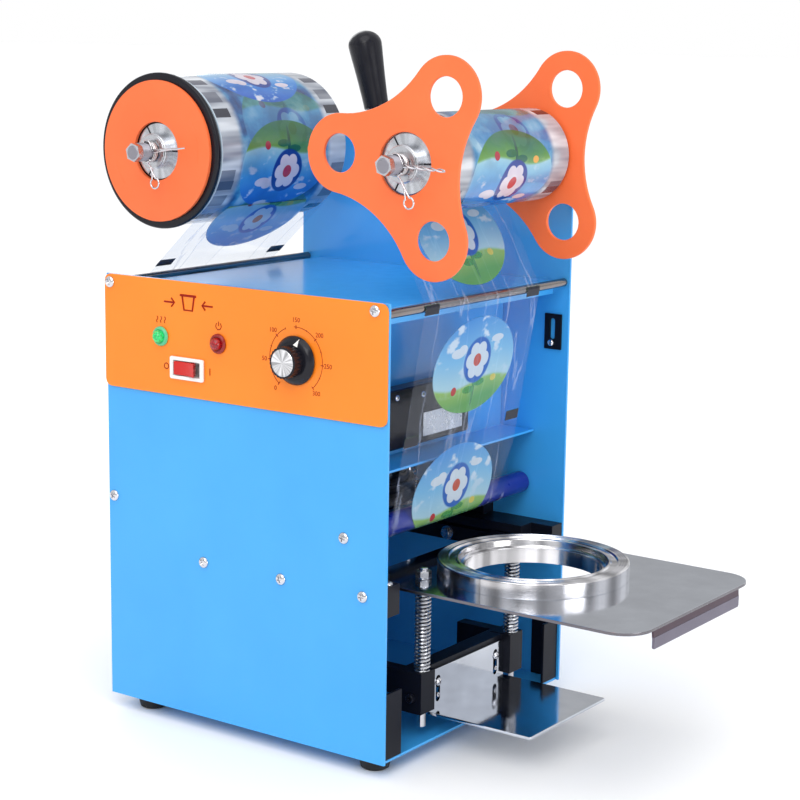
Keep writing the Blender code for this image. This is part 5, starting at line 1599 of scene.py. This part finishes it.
def build_lever():
    lever_x = LEVER_X
    foot = Vector((lever_x, *SHAFT))
    top = Vector((lever_x, 0.0780, 0.4700))
    bottom = Vector((lever_x, 0.0645, 0.4120))
    aim = (top - foot).normalized()
    grip_start = (bottom - foot).dot(aim)
    length = (top - foot).length

    low, high = machine_box("main_shaft")
    turned_piece("main_shaft", "lever", "turned_steel", "X", SHAFT, [
        (0, low.x), (0.0052, low.x), (0.0060, low.x + 0.0008), (0.0060, high.x - 0.0015), (0.0048, high.x),
        (0.0020, high.x), (0.0016, high.x - 0.0010), (0, high.x - 0.0010)], STEEL)
    softened("press_cam", STEEL, 0.0005).done("lever", ["press_cam"], "turned_steel")

    arm = Shape("lever_arm_finished")
    bore = SHAFT_BORE_R
    arm.lathe([(bore, lever_x - 0.0085), (bore + 0.0005, lever_x - 0.009), (0.0130, lever_x - 0.009),
               (0.0140, lever_x - 0.0080), (0.0140, lever_x + 0.0080), (0.0130, lever_x + 0.009),
               (bore + 0.0005, lever_x + 0.009), (bore, lever_x + 0.0085)], "X", SHAFT, STEEL, 96)
    rod = Shape("rod")
    rod.lathe(
        [
            (0, 0.0128), (0.0084, 0.0128), (0.0090, 0.0134), (0.0090, 0.0190), (0.0082, 0.0202),
            (0.0060, 0.0210), (0.0060, grip_start - 0.0165), (0.0075, grip_start - 0.0145),
            (0.0075, grip_start - 0.0004), (0, grip_start - 0.0004)],
        "Z", (0, 0), None, 64)
    arm.stamp(template(rod), leaning(foot, aim), CHROME)
    arm.stamp(SOCKET_HEAD, turned_to(foot + Vector((0, -0.0136, -0.002)), (0, -1, -0.1), 0.2, 0.8), ZINC)
    arm.done("lever", ["lever_arm"], "turned_steel")

    grip = Shape("grip")
    profile = [
        (0, grip_start), (0.0080, grip_start), (0.0090, grip_start + 0.0005),
        (0.0093, grip_start + 0.0014), (0.0093, grip_start + 0.0040), (0.0096, grip_start + 0.0100),
        (0.0104, grip_start + 0.0220), (0.0114, grip_start + 0.0340), (0.0122, grip_start + 0.0430),
        (0.0125, length - 0.0120)
    ]
    for k in range(1, 12):
        angle = math.pi / 2 * k / 12
        profile.append((0.0125 * math.cos(angle), length - 0.0120 + 0.0105 * math.sin(angle)))
    profile.append((0, length - 0.0015))
    grip.lathe(profile, "Z", (0, 0), None, 72)
    handle = Shape("lever_grip_finished")
    handle.stamp(template(grip), leaning(foot, aim), BLACK)
    handle.done("lever", ["lever_grip"], "black_plastic")


def coil(shape, centre, low, high, radius, wire, turns, material, closed_turns=1.0):
    """A compression spring with closed ends, standing along Z."""
    steps = 20
    total = int(turns * steps)
    points = []
    closed = closed_turns * steps
    open_pitch = (high - low - 2 * wire - 2 * closed_turns * 2 * wire) / (total - 2 * closed)
    height = low + wire
    for k in range(total + 1):
        angle = math.tau * k / steps
        points.append(
            Vector(
                (
                    centre[0] + (radius - wire) * math.cos(angle),
                    centre[1] + (radius - wire) * math.sin(angle), height)))
        height += 2 * wire / steps if k < closed or k >= total - closed else open_pitch
    shape.wire(points, wire, material, 8)


def build_head():
    for node in ("head_post_left", "head_post_right"):
        low, high = machine_box(node)
        centre = ((low.x + high.x) / 2, 0)
        turned_piece(
            node, "cabinet", "turned_steel", "Z", centre,
            [
                (0, low.z), (0.0046, low.z), (0.0050, low.z + 0.0004), (0.0050, high.z - 0.0004),
                (0.0046, high.z), (0, high.z)],
            CHROME, 48)
    softened("head_carrier", BLACK_PAINT, 0.0008).done("head", ["head_carrier"], "black_steel")

    low, high = machine_box("heating_head")
    base = low.z
    # painted shade: the turned head is darkened nearly to black to stand for the shade it sits in; its last
    # number also sets painted reflection bands
    metal = lathed("heating_head_painted_shade", (0.12, 0.12, 0.135), 0.32, "Z", (0, 0, 0), 0.30)
    head = Shape("heating_head_finished")
    head.lathe(
        [
            (0, base), (0.0496, base), (0.0512, base + 0.0004), (0.0520, base + 0.0016),
            (0.0520, base + 0.0130), (0.0514, base + 0.0140), (0.0480, base + 0.0140),
            (0.0480, base + 0.0184), (0.0474, base + 0.0190), (0.0130, base + 0.0190), (0.0130, high.z),
            (0, high.z)],
        "Z", (0, 0), metal, 96)
    for k in range(6):
        angle = math.tau * (k + 0.5) / 6
        head.stamp(
            SOCKET_HEAD,
            turned_to((0.040 * math.cos(angle), 0.040 * math.sin(angle), base + 0.0190), (0, 0, 1)), ZINC)
    head.done("head", ["heating_head"], "aluminium")

    for node, side in (("head_spring_left", -1), ("head_spring_right", 1)):
        low, high = machine_box(node)
        spring = Shape(f"{node}_finished")
        coil(spring, (side * 0.080, 0), low.z, high.z, 0.0080, 0.0008, 8, ZINC)
        made = spring.done("cabinet", [node], "turned_steel")
        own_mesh(made)


# ---------------------------------------------------------------- drawer and cup rest
WASHER_RISE = 0.0007             # the spring's foot stands on a washer on the rest frame


def build_drawer():
    low, high = machine_box("slide_plate")
    top, gauge = PLATE_TOP, PLATE_GAUGE
    half_width = high.x
    front, rear = low.y, high.y
    outline = fillet([(-half_width, front), (half_width, front), (half_width, rear), (-half_width, rear)],
                     [0.020, 0.020, 0.0008, 0.0008], 14)
    holes = [ring_points(RING_CENTRE, 0.0530, 96)] + [
        ring_points((s * ROD_X, ROD_Y), 0.0033, 24) for s in (-1, 1)
    ]
    sheet = Shape("slide_plate_finished")
    plate(sheet, [outline] + holes, "Z", top - gauge, top, 0.0003, MIRROR)
    # painted shade: the plate's upright edge faces take a darker copy of its stainless
    sheet.mesh.normal_update()
    for side_face in sheet.mesh.faces:
        if abs(side_face.normal.z) < 0.5:
            side_face.material_index = sheet.slot_of(EDGE_PAINTED_SHADE)
    lip_half, bend = 0.0575, 0.0064
    # painted shade: the folded lip's face is a darker copy of the plate's stainless
    face = rectangle((-lip_half, low.z), (lip_half, top - bend))
    plate(
        sheet, [fillet(face, [0.0016, 0.0016, 0.0002, 0.0002])], "Y", front + 0.0003, front + 0.0018,
        0.0004, LIP_PAINTED_SHADE)
    # painted shade: the bend along the lip's top is darker still
    fold = [
        (front + 0.0006, top - bend - 0.0002), (front + 0.0018, top - bend - 0.0002),
        (front + 0.0022, top - 0.0019), (front + 0.0060, top - 0.0019), (front + 0.0060, top - 0.0006),
        (front + 0.0024, top - 0.0006), (front + 0.0009, top - 0.0022)
    ]
    sheet.prism(
        fillet(fold, [0.0001, 0.0001, 0.001, 0.0001, 0.0001, 0.0014, 0.0014], 5), "X", -lip_half, lip_half,
        BEND_PAINTED_SHADE)
    sheet.done("drawer", ["slide_plate"], "mirror_steel")

    ring_top = RING_TOP
    # the ring's last number sets its painted reflection: darker and brighter bands round the axis in the
    # base colour
    polished = lathed("mould_ring_metal", (0.82, 0.81, 0.83), 0.16, "Z", (*RING_CENTRE, 0), 0.62)
    ring = Shape("ring_mould_finished")
    low, high = machine_box("ring_mould")
    body = [
        (0.0445, low.z), (0.0521, low.z), (0.0525, low.z + 0.0004), (0.0525, top - 0.0001),
        (0.0627, top - 0.0001), (0.0630, top + 0.0003), (0.0630, ring_top - 0.0012),
        (0.0627, ring_top - 0.0005), (0.0621, ring_top)
    ]
    for groove in (0.0606, 0.0590, 0.0574):
        body += [
            (groove + 0.0006, ring_top), (groove + 0.0003, ring_top - 0.0006),
            (groove - 0.0001, ring_top - 0.0006), (groove - 0.0004, ring_top)
        ]
    body += [
        (0.0556, ring_top), (0.0548, ring_top - 0.0012), (0.0512, ring_top - 0.0012),
        (0.0504, ring_top - 0.0004), (0.0494, ring_top - 0.0004), (0.0488, ring_top - 0.0010),
        (0.0485, ring_top - 0.0040), (0.0480, ring_top - 0.0050), (0.0450, ring_top - 0.0050),
        (0.0445, ring_top - 0.0056)
    ]
    ring.lathe(body, "Z", RING_CENTRE, polished, 128)
    ring.done("drawer", ["ring_mould"], "turned_steel")

    for node, side in (("hanging_rod_left", -1), ("hanging_rod_right", 1)):
        low, high = machine_box(node)
        centre = (side * ROD_X, ROD_Y)
        rod = Shape(f"{node}_finished")
        profile = [(0, low.z), (0.0024, low.z), (0.0030, low.z + 0.0006)]
        profile += [(0.0030, top + 0.0060)] + thread_profile(
            0.0030, top + 0.0060, high.z - 0.0002, 0.0007, 0.0003)
        profile += [(0, high.z)]
        rod.lathe(profile, "Z", centre, CHROME, 40)
        rod.lathe(
            [
                (0.0031, top + 0.0003), (0.0052, top + 0.0003), (0.0053, top + 0.0006),
                (0.0053, top + 0.0011), (0.0031, top + 0.0011)],
            "Z", centre, ZINC, 40)
        rod.lathe(
            [
                (0.0031, top + 0.0012), (0.0050, top + 0.0012), (0.0053, top + 0.0017),
                (0.0053, top + 0.0047), (0.0050, top + 0.0052), (0.0031, top + 0.0052)],
            "Z", centre, ZINC, 6, 0.2)
        rod.done("drawer", [node], "turned_steel")


def build_cup_rest():
    rest = softened("rest_frame", BLACK_PAINT, 0.0006)
    for side in (-1, 1):
        rest.stamp(
            SOCKET_HEAD, turned_to((side * 0.0620, -0.1065, 0.0405), (side, 0, 0), 0.3, 0.85), BLACK_PAINT)
        flange = -0.1092
        rest.stamp(PAN_HEAD, turned_to((side * 0.0352, flange, 0.0452), (0, -1, 0), 0.4, 0.72), CHROME)
        rest.stamp(
            SOCKET_HEAD, turned_to((side * 0.0352, flange + 0.0012, 0.0362), (0, -1, 0), 0.4, 0.45), CHROME)
        rest.lathe(
            [(0.0034, 0.0581), (0.0050, 0.0581), (0.0052, 0.0583), (0.0050, 0.0588), (0.0034, 0.0588)],
            "Z", (side * ROD_X, ROD_Y), ZINC, 40)
    rest.done("cup_rest", ["rest_frame"], "black_steel")

    low, high = machine_box("cup_platform")
    flange_front, flange_rear = -0.1092, -0.1070
    top, gauge = PLATFORM_TOP, PLATE_GAUGE
    half = FLANGE_HALF_WIDTH
    tray = Shape("cup_platform_finished")
    slots = [slot_points((side * 0.035, 0.0405), 0.0024, 0.0090) for side in (-1, 1)]
    plate(
        tray,
        [fillet(rectangle((-half, top - 0.0012), (half, high.z)), [0.0002, 0.0002, 0.001, 0.001])] + slots,
        "Y", flange_front + 0.0001, flange_rear, 0.0004, MIRROR)
    floor = fillet(
        rectangle((low.x, low.y), (high.x, flange_rear - 0.0004)), [0.0015, 0.0015, 0.0003, 0.0003])
    plate(tray, [floor], "Z", top - gauge, top, 0.0004, MIRROR)
    tray.done("cup_rest", ["cup_platform"], "mirror_steel")

    for node, side in (("rest_spring_left", -1), ("rest_spring_right", 1)):
        low, high = machine_box(node)
        foot = low.z + WASHER_RISE
        spring = Shape(f"{node}_finished")
        coil(spring, (side * ROD_X, ROD_Y), foot, high.z, 0.0055, 0.0008, 24, ZINC)
        made = spring.done("drawer", [node], "turned_steel")
        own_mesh(made)


for build in (
    build_stage, build_cabinet, build_screws, build_fittings, build_panel_printing, build_lamps,
    build_switch, build_knob, build_reels, build_film, build_rollers, build_lever, build_head, build_drawer,
    build_cup_rest,
):
    build()

bpy.context.view_layer.update()
